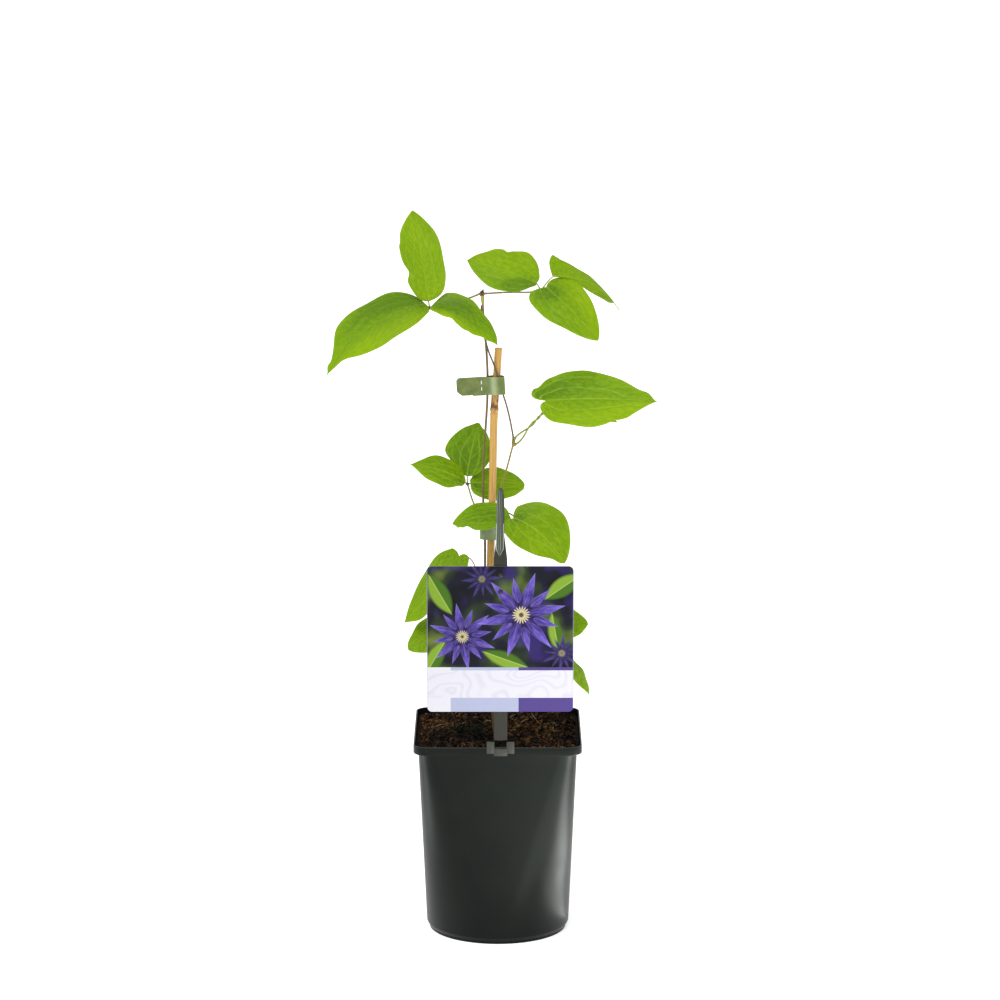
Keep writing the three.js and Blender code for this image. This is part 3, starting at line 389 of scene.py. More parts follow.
# %% Pot outline and profile
def rounded_corners(half_u, half_v, corner, count):
    """Both coordinates of rounded rectangles: quarter circles of the corner radius, of count points each,
    round the four places (+-half_u, +-half_v)."""
    quarter = np.arange(4)[:, None]
    angle = (np.pi / 2 * (quarter + np.linspace(0, 1, count))).ravel()
    facing = np.repeat(np.pi / 2 * quarter + np.pi / 4, count)
    return (np.sign(np.cos(facing)) * half_u + corner * np.cos(angle),
            np.sign(np.sin(facing)) * half_v + corner * np.sin(angle))


def square_rings(profile):
    """Rounded squares, one for each row (half, corner, z): quarter circles of the corner radius whose
    centres lie half - corner from the middle. A corner radius near the half width makes a circle."""
    half, corner, z = (column[:, None] for column in np.asarray(profile, float).T)
    corner = np.minimum(corner, half)
    return grid_points(*rounded_corners(half - corner, half - corner, corner, CORNER_POINTS), z)


def softened(profile, radius, steps=4):
    """The profile with each inner corner replaced by a parabola that starts and ends radius from it."""
    profile = np.asarray(profile, float)
    corner = profile[1:-1]
    back, ahead = profile[:-2] - corner, profile[2:] - corner
    back_length = np.linalg.norm(back, axis=1, keepdims=True)
    ahead_length = np.linalg.norm(ahead, axis=1, keepdims=True)
    a = corner + back * np.minimum(radius / back_length, 0.45)
    b = corner + ahead * np.minimum(radius / ahead_length, 0.45)
    t = np.linspace(0, 1, steps + 1)[None, :, None]
    curves = (1 - t) ** 2 * a[:, None] + 2 * t * (1 - t) * corner[:, None] + t**2 * b[:, None]
    return np.vstack([profile[:1], curves.reshape(-1, profile.shape[1]), profile[-1:]])


def wall_row(z, inset=0.0):
    """The outer wall's outline at height z, between the heel and the ledge, drawn in by inset."""
    share = (z - POT_HEEL_HEIGHT) / (POT_LEDGE - POT_HEEL_HEIGHT)
    half = POT_HEEL_RADIUS + share * (POT_BODY_HALF - POT_HEEL_RADIUS)
    corner = POT_HEEL_RADIUS + share * (POT_BODY_CORNER - POT_HEEL_RADIUS)
    return (half - inset, corner - inset, z)


WALL_HEIGHTS = np.linspace(POT_HEEL_HEIGHT + 12, POT_LEDGE - 12, 12)
pot_profile = softened([
    (14, 14, 0), (16, 16, POT_LIFT), (44, 44, POT_LIFT), (46, 46, 0),
    (POT_FOOT_RADIUS, POT_FOOT_RADIUS, 0), (POT_FOOT_RADIUS, POT_FOOT_RADIUS, POT_HEEL_HEIGHT - 3),
    wall_row(POT_HEEL_HEIGHT), *(wall_row(z) for z in WALL_HEIGHTS), wall_row(POT_LEDGE - 0.4),
    (POT_RIM_HALF, POT_RIM_CORNER, POT_LEDGE + 0.4), (POT_RIM_HALF, POT_RIM_CORNER, POT_HEIGHT),
    (POT_RIM_HALF - POT_WALL, POT_RIM_CORNER - POT_WALL, POT_HEIGHT),
    (POT_RIM_HALF - POT_WALL, POT_RIM_CORNER - POT_WALL, POT_LEDGE + 1.6),
    wall_row(POT_LEDGE - 0.4, POT_WALL), *(wall_row(z, POT_WALL) for z in WALL_HEIGHTS[::-1]),
    wall_row(POT_HEEL_HEIGHT + 0.6, POT_WALL),
    (POT_FOOT_RADIUS - POT_WALL, POT_FOOT_RADIUS - POT_WALL, POT_FLOOR_TOP),
], radius=0.8)
print("pot profile rows:", len(pot_profile))

# %% [markdown]
# ### Black recycled polypropylene
#
# The plastic is nearly black with a green cast, because it is melted from mixed scrap. Moulded in a
# finely grained tool it is satin: its gloss is broad and soft. Flow of the melt leaves faint clouds a
# few centimetres wide, handling leaves dust and a few pale specks about half a millimetre wide.

# %% Pot material
def pot_plastic():
    """Green-black satin plastic: cloudy in tone and gloss at 30 mm, grained at 0.6 mm, a few pale specks,
    and a grey highlight painted along the top edge."""
    material, tree = start_material("moulded recycled polypropylene", Specular_IOR_Level=0.14,
                                    Specular_Tint=(0.93, 1.0, 0.93, 1.0))
    place = add_node(tree, "TexCoord", output="Object")
    clouds = add_node(tree, "TexNoise", [place, 33.0, 3.0])
    plastic = add_node(tree, "ValToRGB", [clouds], [(0.3, "#060a08"), (0.75, "#0d110e")])
    specks = add_node(tree, "TexVoronoi", [place, 75.0])
    speck = add_node(tree, "MapRange", [specks, 0.022, 0.012])
    speckled = add_node(tree, "Mix", [speck, plastic, "#5c5f56"], data_type="RGBA")
    height = add_node(tree, "SeparateXYZ", [place], output="Z")
    # painted highlight: the top half millimetre of the rim is painted a lighter grey, where its edge catches
    # the light
    worn = add_node(tree, "MapRange", [height, (POT_HEIGHT - 0.5) * MM, POT_HEIGHT * MM, 0.0, 0.7])
    scuffed = add_node(tree, "Mix", [worn, speckled, "#4c4a42"], data_type="RGBA")
    gloss = add_node(tree, "MapRange", [clouds, 0.0, 1.0, 0.34, 0.42])
    grain = add_node(tree, "TexNoise", [place, 1600.0])
    relief = add_node(tree, "Bump", {"Height": grain, "Strength": 0.1, "Distance": 0.0003})
    link_shader(tree, scuffed, gloss, relief)
    return material


pot_skin = pot_plastic()


# %% Build the pot
def drill(piece, places, radius, top):
    """Cuts round holes down through the piece: a Boolean takes one mesh of upright cylinders away."""
    rods = [round_rings(np.array([(x, y, -top), (x, y, top)]), radius, round_angles(32), X_AXIS, Y_AXIS)
            for x, y in places]
    cutter = make_piece(piece.name + "_cutter", [(loft(rod), 0) for rod in rods], [], "pot_plastic")
    hole = piece.modifiers.new("holes", "BOOLEAN")
    hole.object = cutter
    hole.solver = "EXACT"
    graph = bpy.context.evaluated_depsgraph_get()
    drilled = bpy.data.meshes.new_from_object(piece.evaluated_get(graph))
    piece.modifiers.clear()
    piece.data = drilled
    bpy.data.objects.remove(cutter)


drain_angles = round_angles(DRAIN_COUNT) + np.pi / DRAIN_COUNT
drain_places = DRAIN_CIRCLE * np.stack([np.cos(drain_angles), np.sin(drain_angles)], 1)
pot = make_piece("nursery_pot", [(loft(square_rings(pot_profile)), 0)], [pot_skin], "pot_plastic", "pot",
                 sharp_degrees=50)
drill(pot, drain_places, DRAIN_RADIUS, 2 * POT_FLOOR_TOP)
print("pot faces after drilling:", len(pot.data.polygons))

# %% [markdown]
# ## The peat
#
# Potting peat is a dark brown felt of moss, crumbs and roots, filled to a centimetre under the rim. Its
# surface is a lumpy sheet, and what the eye reads as peat is what lies on it: crumbs of 1 to 3 mm and
# straw-coloured fibres up to 13 mm long. So the sheet gets random heights at three sizes, and thousands
# of small lumps and bent fibres are strewn over it, all worked out as arrays from one seeded draw. Only
# the few longest straws are listed one by one. Each carries a tone value that its material turns into a
# colour, so two materials are enough.

# %% Random ground
SOIL_TOP = 156.5
SOIL_BOTTOM = 4.0
SOIL_HALF, SOIL_CORNER = 63.3, 9.3  # of its upper layer, which lies within the rim
SOIL_CLEARANCE = 1.5  # from the pot's outer wall to the peat
SOIL_RISE = 0.4  # mm, of the surface's mean over the solid's
EDGE_FROM, EDGE_DROP = 0.86, 1.6  # where the hollow edge starts, as a share of the half width, and mm
# heaps, clods and crumbs: mm across, mm high, and where on the net of random numbers they lie
GROUND_WAVES = [(22, 1.3, 40, 0), (7, 1.1, 0, 90), (2.4, 0.7, 70, 0)]
random = np.random.default_rng(20)
lattice = random.uniform(-1, 1, (64, 64))


def lumps(x, y, size):
    """Smooth random heights from -1 to 1: a random number at each crossing of a net with cells of size,
    blended between the crossings by 3t^2 - 2t^3."""
    i, j = np.floor(x / size).astype(int), np.floor(y / size).astype(int)
    u, v = x / size - i, y / size - j
    u, v = u * u * (3 - 2 * u), v * v * (3 - 2 * v)
    low = lattice[i % 64, j % 64] * (1 - u) + lattice[(i + 1) % 64, j % 64] * u
    high = lattice[i % 64, (j + 1) % 64] * (1 - u) + lattice[(i + 1) % 64, (j + 1) % 64] * u
    return low * (1 - v) + high * v


def ground_height(x, y):
    """The peat's surface: the sum of its heaps, clods and crumbs, falling off towards the edge."""
    edge = np.maximum(np.abs(x), np.abs(y)) / SOIL_HALF
    heaps = sum(high * lumps(x + dx, y + dy, size) for size, high, dx, dy in GROUND_WAVES)
    return SOIL_TOP + SOIL_RISE + heaps - EDGE_DROP * np.clip((edge - EDGE_FROM) / (1 - EDGE_FROM), 0, 1)


# x, y and reach in mm, and how much lighter (above 0) or darker the peat is there
# the patch at (1, -45) is painted shadow: it darkens the peat seen through the holder's window
GROUND_PATCHES = np.array([
    (-44, 22, 14, 0.4), (14, 15, 10, 0.4), (34, 0, 24, 0.25), (-20, 6, 15, -0.45), (1, -45, 9, -0.6),
    (-8, -25, 10, -0.4), (56, -28, 13, -0.5), (-6.5, 25, 2.5, 0.9), (-50, -42, 12, -0.3),
    (24, -52, 10, -0.3), (42, 36, 8, -0.3), (-40, -18, 17, -0.35)])
MOSS_PATCH = np.array([(-20, 6, 16, 1.7)])  # the same for moss, and how green it is
# the longest straws: the x and y of both ends in mm
LONG_STRAWS = [(33.6, 20, 26.8, 58), (44, 0, 45.2, 18), (18, 22, 27, 36), (13, 4, 22, 13),
               (-50, 12, -38, 18), (9, 34, 16, 52)]
# how many crumbs and fibres are strewn, and their sizes in mm
DARK_CRUMBS, PALE_CRUMBS, FIBRES = (3600, 0.7, 3.2), (350, 0.4, 1.1), (1500, 13)


def patches(x, y, rows):
    """The sum of amount * exp(-(distance / reach)^2) over rows of x, y, reach and amount."""
    px, py, reach, amount = (column[:, None] for column in rows.T)
    return np.sum(amount * bell(np.hypot(np.ravel(x) - px, np.ravel(y) - py), reach), axis=0)


print("ground from", ground_height(np.linspace(-50, 50, 40), 0 * np.linspace(0, 1, 40)).min())


# %% Peat, crumbs and fibres
PEAT_RINGS, PEAT_SPLIT = 56, 4  # rings on the surface, and steps from each point of a ring to the next
CRUMB_PULL, CRUMB_FLATNESS = (0.35, 0.75), (0.5, 1)  # shares that its corners and its sides may have
FIBRE_ROWS, FIBRE_SIDES = 7, 3
FIBRE_RADIUS, FIBRE_ARCH, FIBRE_CURL = (0.08, 0.2), (0, 1.6), (-0.3, 0.3)  # mm, mm, share of its length
STRAW_RADIUS, STRAW_ARCH, STRAW_BEND = (0.1, 0.16), 0.8, 1.2  # mm; radius at the ends, and added midway


def peat_body():
    """The fill: rounded squares up the inside of the wall, then shrinking rings whose points take the
    ground's height. The rings lie about 1 mm apart, so that clods and crumbs come out."""
    foot = POT_FOOT_RADIUS - POT_WALL - 1
    sides = [(foot, foot, SOIL_BOTTOM), wall_row(POT_HEEL_HEIGHT + 3, SOIL_CLEARANCE),
             wall_row(POT_LEDGE - 0.6, SOIL_CLEARANCE), (SOIL_HALF, SOIL_CORNER, POT_LEDGE + 2)]
    share = np.linspace(1, 0.01, PEAT_RINGS)
    top = grid_points(share * SOIL_HALF, share * SOIL_CORNER, SOIL_TOP)
    rings = square_rings(np.vstack([sides, top]))
    steps = np.arange(PEAT_SPLIT)[:, None] / PEAT_SPLIT
    after = np.roll(rings, -1, axis=1)
    rings = (rings[:, :, None] * (1 - steps) + after[:, :, None] * steps).reshape(len(rings), -1, 3)
    surface = rings[len(sides):]
    surface[..., 2] = ground_height(surface[..., 0], surface[..., 1])
    x, y = (np.append(rings[..., k], [0, 0]) for k in (0, 1))
    return loft(rings, tone=0.3 + patches(x, y, GROUND_PATCHES), moss=patches(x, y, MOSS_PATCH))


def strewn(count, margin):
    """Random places on the ground within the pot, and the ground's height there."""
    half = SOIL_HALF - margin
    x, y = random.uniform(-half, half, (2, count))
    return grid_points(x, y, ground_height(x, y))


def crumbs(count, small, large):
    """Eight-cornered lumps: a cube's corners pulled about at random, turned and strewn over the ground."""
    cube = np.array([(x, y, z) for x in (-1, 1) for y in (-1, 1) for z in (-1, 1)], float)
    faces = np.array([(0, 1, 3, 2), (4, 6, 7, 5), (0, 4, 5, 1), (2, 3, 7, 6), (0, 2, 6, 4), (1, 5, 7, 3)])
    size = small * (large / small) ** random.uniform(0, 1, count) ** 1.6
    turns = np.linalg.qr(random.normal(size=(count, 3, 3)))[0]
    corners = (cube * random.uniform(*CRUMB_PULL, (count, 8, 1))
               * random.uniform(*CRUMB_FLATNESS, (count, 1, 3)))
    corners = np.einsum("nki,nij->nkj", corners, turns) * size[:, None, None]
    corners = corners + strewn(count, large)[:, None] + 0.2 * Z_AXIS * size[:, None, None]
    quads = (faces + 8 * np.arange(count)[:, None, None]).reshape(-1, 4)
    corners = corners.reshape(-1, 3)
    x, y, _ = corners.T
    tone = np.repeat(random.uniform(0, 1, count) ** 1.7, 8) + patches(x, y, GROUND_PATCHES)
    return closed(corners, quads, [], tone=tone, moss=patches(x, y, MOSS_PATCH))


def fibres(count, longest):
    """Bent three-sided threads: start + direction * length * t, arched over the ground and curled
    sideways by a sine, with a radius that fades to both ends."""
    t = np.linspace(0, 1, FIBRE_ROWS)[None, :, None]
    start = strewn(count, 6)
    length = random.uniform(0.3, 1, count) ** 2 * longest
    heading = random.uniform(0, 2 * np.pi, count)
    along = grid_points(np.cos(heading), np.sin(heading), random.uniform(-0.2, 0.25, count))
    across = grid_points(-np.sin(heading), np.cos(heading), 0.0)
    curl = random.uniform(*FIBRE_CURL, (count, 1, 1)) * np.sin(2.2 * np.pi * t)
    middle = start[:, None] + length[:, None, None] * (along[:, None] * t + across[:, None] * curl)
    inside = SOIL_HALF - 1
    middle[..., :2] = np.clip(middle[..., :2], -inside, inside)
    ground = ground_height(middle[..., 0], middle[..., 1])
    middle[..., 2] = ground + 0.35 + random.uniform(*FIBRE_ARCH, (count, 1)) * np.sin(np.pi * t[..., 0])
    angle = round_angles(FIBRE_SIDES)
    thick = random.uniform(*FIBRE_RADIUS, (count, 1, 1)) * (0.35 + np.sin(np.pi * t))
    rings = (middle[:, :, None] + (thick * np.cos(angle))[..., None] * across[:, None, None]
             + (thick * np.sin(angle))[..., None] * Z_AXIS)
    quads = grid_quads(FIBRE_ROWS, FIBRE_SIDES, wrap=True)
    each = FIBRE_ROWS * FIBRE_SIDES
    ends = np.array([(0, 2, 1), (each - 3, each - 2, each - 1)])
    shift = each * np.arange(count)[:, None, None]
    points = rings.reshape(-1, 3)
    x, y, _ = points.T
    own = np.repeat(random.uniform(0, 1, count) ** 2.4, each)
    return closed(points, (quads + shift).reshape(-1, 4), (ends + shift).reshape(-1, 3),
                  tone=own + 0.8 * patches(x, y, GROUND_PATCHES))


def long_straws():
    """Pale straws listed one by one: arched tubes over the ground between two places, thin at the ends."""
    surfaces = []
    for x0, y0, x1, y1 in LONG_STRAWS:
        t = np.linspace(0, 1, 16)
        swell = np.sin(np.pi * t)
        bend = STRAW_BEND * swell * unit(np.array([y0 - y1, x1 - x0]))[:, None]
        x, y = x0 + (x1 - x0) * t + bend[0], y0 + (y1 - y0) * t + bend[1]
        z = ground_height(x, y).max() + 0.1 + STRAW_ARCH * swell
        size = STRAW_RADIUS[0] + STRAW_RADIUS[1] * swell
        surfaces.append((tube(grid_points(x, y, z), size, 6, tone=0.95), 1))
    return surfaces


print("to be strewn:", DARK_CRUMBS[0] + PALE_CRUMBS[0], "crumbs and", FIBRES[0], "fibres")


# %% [markdown]
# ### Peat and straw
#
# Damp peat is almost black in its hollows and red-brown on its crumbs, and it hardly shines. The fibres
# in it are dead moss and root, brown to straw-coloured, with a little gloss along their length.

# %% Peat materials
def peat():
    """Dark brown fibrous earth: the tone value and noise at 3 mm choose the brown, bump at 0.7 mm."""
    material, tree = start_material("damp potting peat", Roughness=0.95, Specular_IOR_Level=0.12)
    place = add_node(tree, "TexCoord", output="Object")
    tone = add_node(tree, "Attribute", attribute_name="tone", output="Fac")
    blotch = add_node(tree, "TexNoise", [place, 330.0, 5.0, 0.7])
    both = add_node(tree, "Math", [tone, blotch], operation="ADD")
    share = add_node(tree, "Math", [both, 0.62], operation="MULTIPLY")
    brown = add_node(tree, "ValToRGB", [share], [(0.3, "#050403"), (0.45, "#140c07"), (0.63, "#331e10"),
                                                 (1.0, "#704d2a")])
    moss = add_node(tree, "Attribute", attribute_name="moss", output="Fac")
    green = add_node(tree, "Math", [moss, blotch], operation="MULTIPLY")
    mossy = add_node(tree, "Mix", [green, brown, "#131b0b"], data_type="RGBA")
    fine = add_node(tree, "TexNoise", [place, 1400.0, 4.0])
    relief = add_node(tree, "Bump", {"Height": fine, "Strength": 0.6, "Distance": 0.0006})
    link_shader(tree, mossy, normal=relief)
    return material


def straw():
    """Dead moss and root: from dark brown to straw by the tone value of each fibre."""
    material, tree = start_material("dry moss fibre", Roughness=0.7, Specular_IOR_Level=0.2)
    tone = add_node(tree, "Attribute", attribute_name="tone", output="Fac")
    colour = add_node(tree, "ValToRGB", [tone], [(0.0, "#1c110a"), (0.45, "#36241a"), (0.8, "#624c2d"),
                                                 (1.0, "#a3905f")])
    link_shader(tree, colour)
    return material


peat_skin, straw_skin = peat(), straw()

# %% Build the peat
peat_parts = [(peat_body(), 0), (crumbs(*DARK_CRUMBS), 0), (crumbs(*PALE_CRUMBS), 1), (fibres(*FIBRES), 1),
              *long_straws()]
make_piece("peat_fill", peat_parts, [peat_skin, straw_skin], "peat", "soil")

# %% [markdown]
# ## The bamboo cane
#
# A split-resistant tonkin cane about 6 mm thick: straw-coloured and glossy, a little crooked at each
# node, where a narrow ring and a scar show that a sheath and a twig were cut away. The top is sawn flat
# and shows the paler wood round a hollow. It is a tube along the same route as the solid one, whose
# radius has a groove and a lip at each node.

# %% Cane shape
CANE_ROUTE = [(8, 1.5, 32), (4.8, 1.5, 92), (1.6, 1.5, 150), (-1.9, 0.8, 214), (-5.4, 0, 278),
              (-4.1, 0, 346), (-2.6, 0, 412), (-0.6, 0, 441), (0.7, 0, 461)]
CANE_RADIUS = 3.05
CANE_NODES = (278.0, 412.0)
CANE_TAPER = 0.04
# at each node a swelling, a lip and a groove: mm above the node, mm outwards, and reach in mm
NODE_RINGS = [(0, 0.35, 4), (0.9, 0.28, 0.8), (-0.9, -0.32, 0.8)]
# past the sawn edge: depth in mm and share of the radius, over the rim of wood into the hollow
CUT_END = np.array([(0, 0.94), (0, 0.8), (0, 0.52), (0.2, 0.48), (5.0, 0.4), (5.2, 0.1)])
CUT_BEVEL = 0.15
CANE_STAINS = ((281.0, 0.2), (418.5, 0.5))  # height and strength of the brown stains


def cane_surface():
    """A tube whose radius shrinks by the taper and follows the rings at its nodes: out * exp(-(d / reach)^2),
    d being the height from the ring. The top ends in a bevel, a rim of wood and a pit 5 mm deep."""
    route = smooth_route(CANE_ROUTE, 430)
    height = route[:, 2]
    radius = CANE_RADIUS * (1 - CANE_TAPER * np.linspace(0, 1, len(route)))
    for above, out, reach in NODE_RINGS:
        radius = radius + out * bumps(height, [(z + above, 1) for z in CANE_NODES], reach)
    down = unit(route[-2] - route[-1])
    centres = np.vstack([route[:-1], route[-1] + down * CUT_BEVEL, route[-1] + down * CUT_END[:, :1]])
    radius = np.concatenate([radius, CUT_END[:, 1] * radius[-1]])
    along = unit(np.gradient(route, axis=0))
    side = unit(np.cross(along, Y_AXIS))
    pick = np.minimum(np.arange(len(centres)), len(route) - 1)  # the cut end keeps the last directions
    angle = round_angles(40)
    rings = round_rings(centres, radius[:, None], angle, side[pick], np.cross(along, side)[pick])
    cut = (np.arange(len(rings)) > len(route)).astype(float)
    return loft(rings, cut=np.concatenate([np.repeat(cut, len(angle)), [0, 1]]))


print("the cane stands", CANE_ROUTE[-1][2], "mm high")


# %% [markdown]
# ### Tonkin bamboo
#
# The skin of dried bamboo is golden with finer, darker streaks that run along it, some as narrow as a
# quarter of a millimetre. Weather leaves brown blotches, most of them near the nodes. The sawn end is
# dull and paler.

# %% Cane material
def bamboo():
    """Golden glossy skin: streaks 0.7 mm wide and 33 mm long, brown stains at the nodes, a pale cut end."""
    material, tree = start_material("dried tonkin bamboo", Coat_Weight=0.15, Coat_Roughness=0.25)
    place = add_node(tree, "TexCoord", output="Object")
    long = add_node(tree, "Mapping", {"Vector": place, "Scale": (1, 1, 0.02)})
    streaks = add_node(tree, "TexNoise", [long, 1500.0, 4.0])
    skin = add_node(tree, "ValToRGB", [streaks], [(0.25, "#9a7531"), (0.45, "#b98d3d"), (0.6, "#c59848"),
                                                  (0.8, "#cea85e")])
    height = add_node(tree, "SeparateXYZ", [place], output="Z")
    nearness = 0.0
    for stain_height, strength in CANE_STAINS:
        off = add_node(tree, "Math", [height, stain_height * MM], operation="SUBTRACT")
        far = add_node(tree, "Math", [off], operation="ABSOLUTE")
        near = add_node(tree, "MapRange", [far, 0.003, 0.013, strength, 0.0])
        nearness = add_node(tree, "Math", [near, nearness], operation="MAXIMUM")
    blotches = add_node(tree, "TexNoise", [place, 260.0, 5.0, 0.65])
    stain = add_node(tree, "Math", [blotches, nearness], operation="ADD")
    stained = add_node(tree, "MapRange", [stain, 0.84, 1.02])
    browned = add_node(tree, "Mix", [stained, skin, "#5f3814"], data_type="RGBA")
    cut = add_node(tree, "Attribute", attribute_name="cut", output="Fac")
    colour = add_node(tree, "Mix", [cut, browned, "#c8a870"], data_type="RGBA")
    gloss = add_node(tree, "MapRange", [streaks, 0.0, 1.0, 0.3, 0.55])
    relief = add_node(tree, "Bump", {"Height": streaks, "Strength": 0.25, "Distance": 0.0003})
    link_shader(tree, colour, gloss, relief)
    return material


cane_skin = bamboo()

# %% Build the cane
make_piece("bamboo_cane", [(cane_surface(), 0)], [cane_skin], "bamboo", "cane", sharp_degrees=55)

# %% [markdown]
# ## The stems
#
# A clematis stem is a wire of a plant: 1 to 2 mm thick for half a metre, six-ribbed, woody brown below
# and greener above, swollen at each node where a pair of leaves leaves it. The main stem climbs beside
# the cane to its dry tip. The second one is thinner: it bows out to the right, takes a sharp turn at a
# node and is pulled back by the upper tie. Both are ribbed tubes with swellings at the nodes.

# %% Stem routes
STEM_ROUTE = [(-2, -3, 112), (-2.6, -3, 150), (-3.8, -2.8, 168), (-6.5, -2, 205), (-9.2, -1.6, 255),
              (-9.8, -1.5, 290), (-9.9, -1, 310), (-10.9, -0.6, 328), (-11.2, -0.3, 345), (-10.9, 0, 375),
              (-9.9, 0, 390), (-8.7, 0, 408), (-7.9, 0, 424), (-7.8, 0, 440), (-8.3, 0, 453),
              (-9.2, 0, 466), (-10.8, 0, 485), (-11.8, 0, 502), (-11.8, 0, 504.6)]
STEM_NODES = [(262, 0.5), (328.5, 0.5), (501, 0.3)]
SECOND_ROUTE = [(6, -2, 116), (5.2, -3, 150), (4.4, -3.6, 190), (2.6, -4.2, 250), (1.6, -4.4, 290),
                (1.4, -4.4, 318), (1.6, -4, 335), (2.4, -3.5, 352), (6.4, -3, 365), (10.6, -3, 381),
                (12.2, -3, 388), (10.4, -3, 401), (8.3, -3.5, 411), (6.1, -4.1, 419.5),
                (4.8, -4.3, 423.5), (3.8, -4.3, 427.5), (1.8, -4.4, 434), (-0.5, -4.4, 441),
                (-2.8, -4.3, 448.5), (-7, -3.4, 459), (-9.2, -2.4, 466.5), (-12, -1.6, 476),
                (-13, 0.6, 485), (-12.2, 2.4, 494)]
SECOND_NODES = [(256, 0.4), (333, 0.4), (388, 0.7)]
TIP_ROUTE = [(-11.7, 0, 501.2), (-12, 0.1, 503.2), (-11.6, -0.2, 505), (-10.8, -0.3, 506.6)]
COLLAR_ROUTE = [(-11.3, 0, 495), (-11.6, 0, 498.5), (-11.7, 0, 501.6)]
# share of the route, and the radius there in mm
TIP_RADIUS = [(0, 1.2), (0.2, 1.9), (0.5, 1.8), (0.75, 0.9), (1, 0.2)]
COLLAR_RADIUS = [(0, 1.0), (0.6, 1.45), (1, 1.5)]


def stem_surface(through, radius, taper, nodes, reach):
    """A tube with radius (1 - taper u) plus round swellings at the nodes, and six ribs of 7 percent."""
    route = smooth_route(through, 480)
    size = radius * (1 - taper * np.linspace(0, 1, len(route))) + bumps(route[:, 2], nodes, reach)
    return tube(route, size, 18, ridges=6, ridge=0.07)


def knob(route, radius, sides, **ridges):
    """A short tube whose radius follows a table of (share of the route, radius), straight in between."""
    return tube(route, np.interp(np.linspace(0, 1, len(route)), *zip(*radius)), sides, **ridges)


dry_tip = knob(smooth_route(TIP_ROUTE, 18), TIP_RADIUS, 14, ridges=4, ridge=0.12)
green_collar = knob(smooth_route(COLLAR_ROUTE, 14), COLLAR_RADIUS, 14)
print("the stems end at", TIP_ROUTE[-1][2], "and", SECOND_ROUTE[-1][2], "mm")

# %% [markdown]
# ### Stem bark and stalk skin
#
# The bark is brown with a purple tinge where the sun reaches it, and peels in fine lengthwise streaks.
# Younger skin is olive to yellow-green. Height decides which: the mix follows the Z of the object.

# %% Stem materials
def stem_skin(name, low, high, turn_at, turn_over, tint):
    """Skin that changes from the low to the high colour around a height, in mm, and is streaked with a
    tint at 1 mm across and 20 mm along."""
    material, tree = start_material(name, Roughness=0.55)
    place = add_node(tree, "TexCoord", output="Object")
    height = add_node(tree, "SeparateXYZ", [place], output="Z")
    share = add_node(tree, "MapRange", [height, (turn_at - turn_over) * MM, (turn_at + turn_over) * MM])
    skin = add_node(tree, "Mix", [share, low, high], data_type="RGBA")
    long = add_node(tree, "Mapping", {"Vector": place, "Scale": (1, 1, 0.05)})
    streaks = add_node(tree, "TexNoise", [long, 1000.0, 4.0])
    streak = add_node(tree, "MapRange", [streaks, 0.4, 0.75, 0.0, 0.75])
    colour = add_node(tree, "Mix", [streak, skin, tint], data_type="RGBA")
    relief = add_node(tree, "Bump", {"Height": streaks, "Strength": 0.4, "Distance": 0.0002})
    link_shader(tree, colour, normal=relief)
    return material


main_bark = stem_skin("woody stem bark", "#684f1e", "#77602e", 330, 60, "#3d2b17")
second_bark = stem_skin("young stem skin", "#8c7a1e", "#564f28", 389, 4, "#4f4120")
tip_bark = stem_skin("withered shoot", "#7a4524", "#452626", 503, 2, "#301818")
collar_skin = stem_skin("green shoot skin", "#8f8a3c", "#a3a548", 498, 2, "#7d7430")

# %% Build the stems
main_parts = [(stem_surface(STEM_ROUTE, 1.0, 0.1, STEM_NODES, 3), 0), (dry_tip, 1), (green_collar, 2)]
make_piece("main_stem", main_parts, [main_bark, tip_bark, collar_skin], "brown_stem", "stem_main")
make_piece("second_stem", [(stem_surface(SECOND_ROUTE, 0.8, 0.15, SECOND_NODES, 3), 0)], [second_bark],
           "grey_stem", "stem_second")

# %% [markdown]
# ## The leaves
#
# A clematis leaf has one to three leaflets, thin as paper, pointed, with three or five veins that leave
# the base together and run in arches to the tip. A leaflet is one sheet on a grid of two parameters: t
# runs from base to tip along the outline, s from the left edge over the midrib to the right edge. Lines
# of equal s are then exactly the arching veins. The sheet is arched, folded along the rib and waved at
# the edge by the same formula as in the solid model, and finer: it has veins sunk in its upper side and
# standing out below, and the tissue between them is puffed up.

# %% The leaves' table
ROUND = ((0.05, 0.5), (0.05, 0.5))


def leaflet(at, tip, face, wide, belly, lobe, point, arch, fold, wave=(1, 2, 0), ripple=(0, 0, 0), twist=0,
            via=(), edge=(), shade=(), clear=0.3):
    """One leaflet: its two ends, the way its upper side looks, the reach of its left and right half, where
    each half is widest, how its base reaches back and out, how it narrows, its arch, its fold, the wave
    and ripple of its edge, its twist at the base, what its stalk passes on the way, where its edge
    bulges or is nicked: (left 1 or right -1, place, half length, mm outwards), where shade is painted on
    its green, or light below 0, for how the light falls on it: (t, s, reach in t, reach in s, amount),
    and how clear its veins are."""
    return {key: np.array(value, float) for key, value in locals().items()}


TWINE_FROM, TWINE_TO = np.array([14, -3.2, 388.7]), np.array([36, -9, 413.0])
TWINE_HALF_TURNS, TWINE_SHORTENING, TWINE_RADIUS, TWINE_POINTS = 3.5, 2.5, 0.9, 22
TWINE_LOOSE, TWINE_LOOSE_AT, TWINE_LOOSE_REACH = 1.4, 0.1, 0.25
TWINE_TIGHTENING = 0.45  # the share of its radius that the twine loses on its way to the leaf


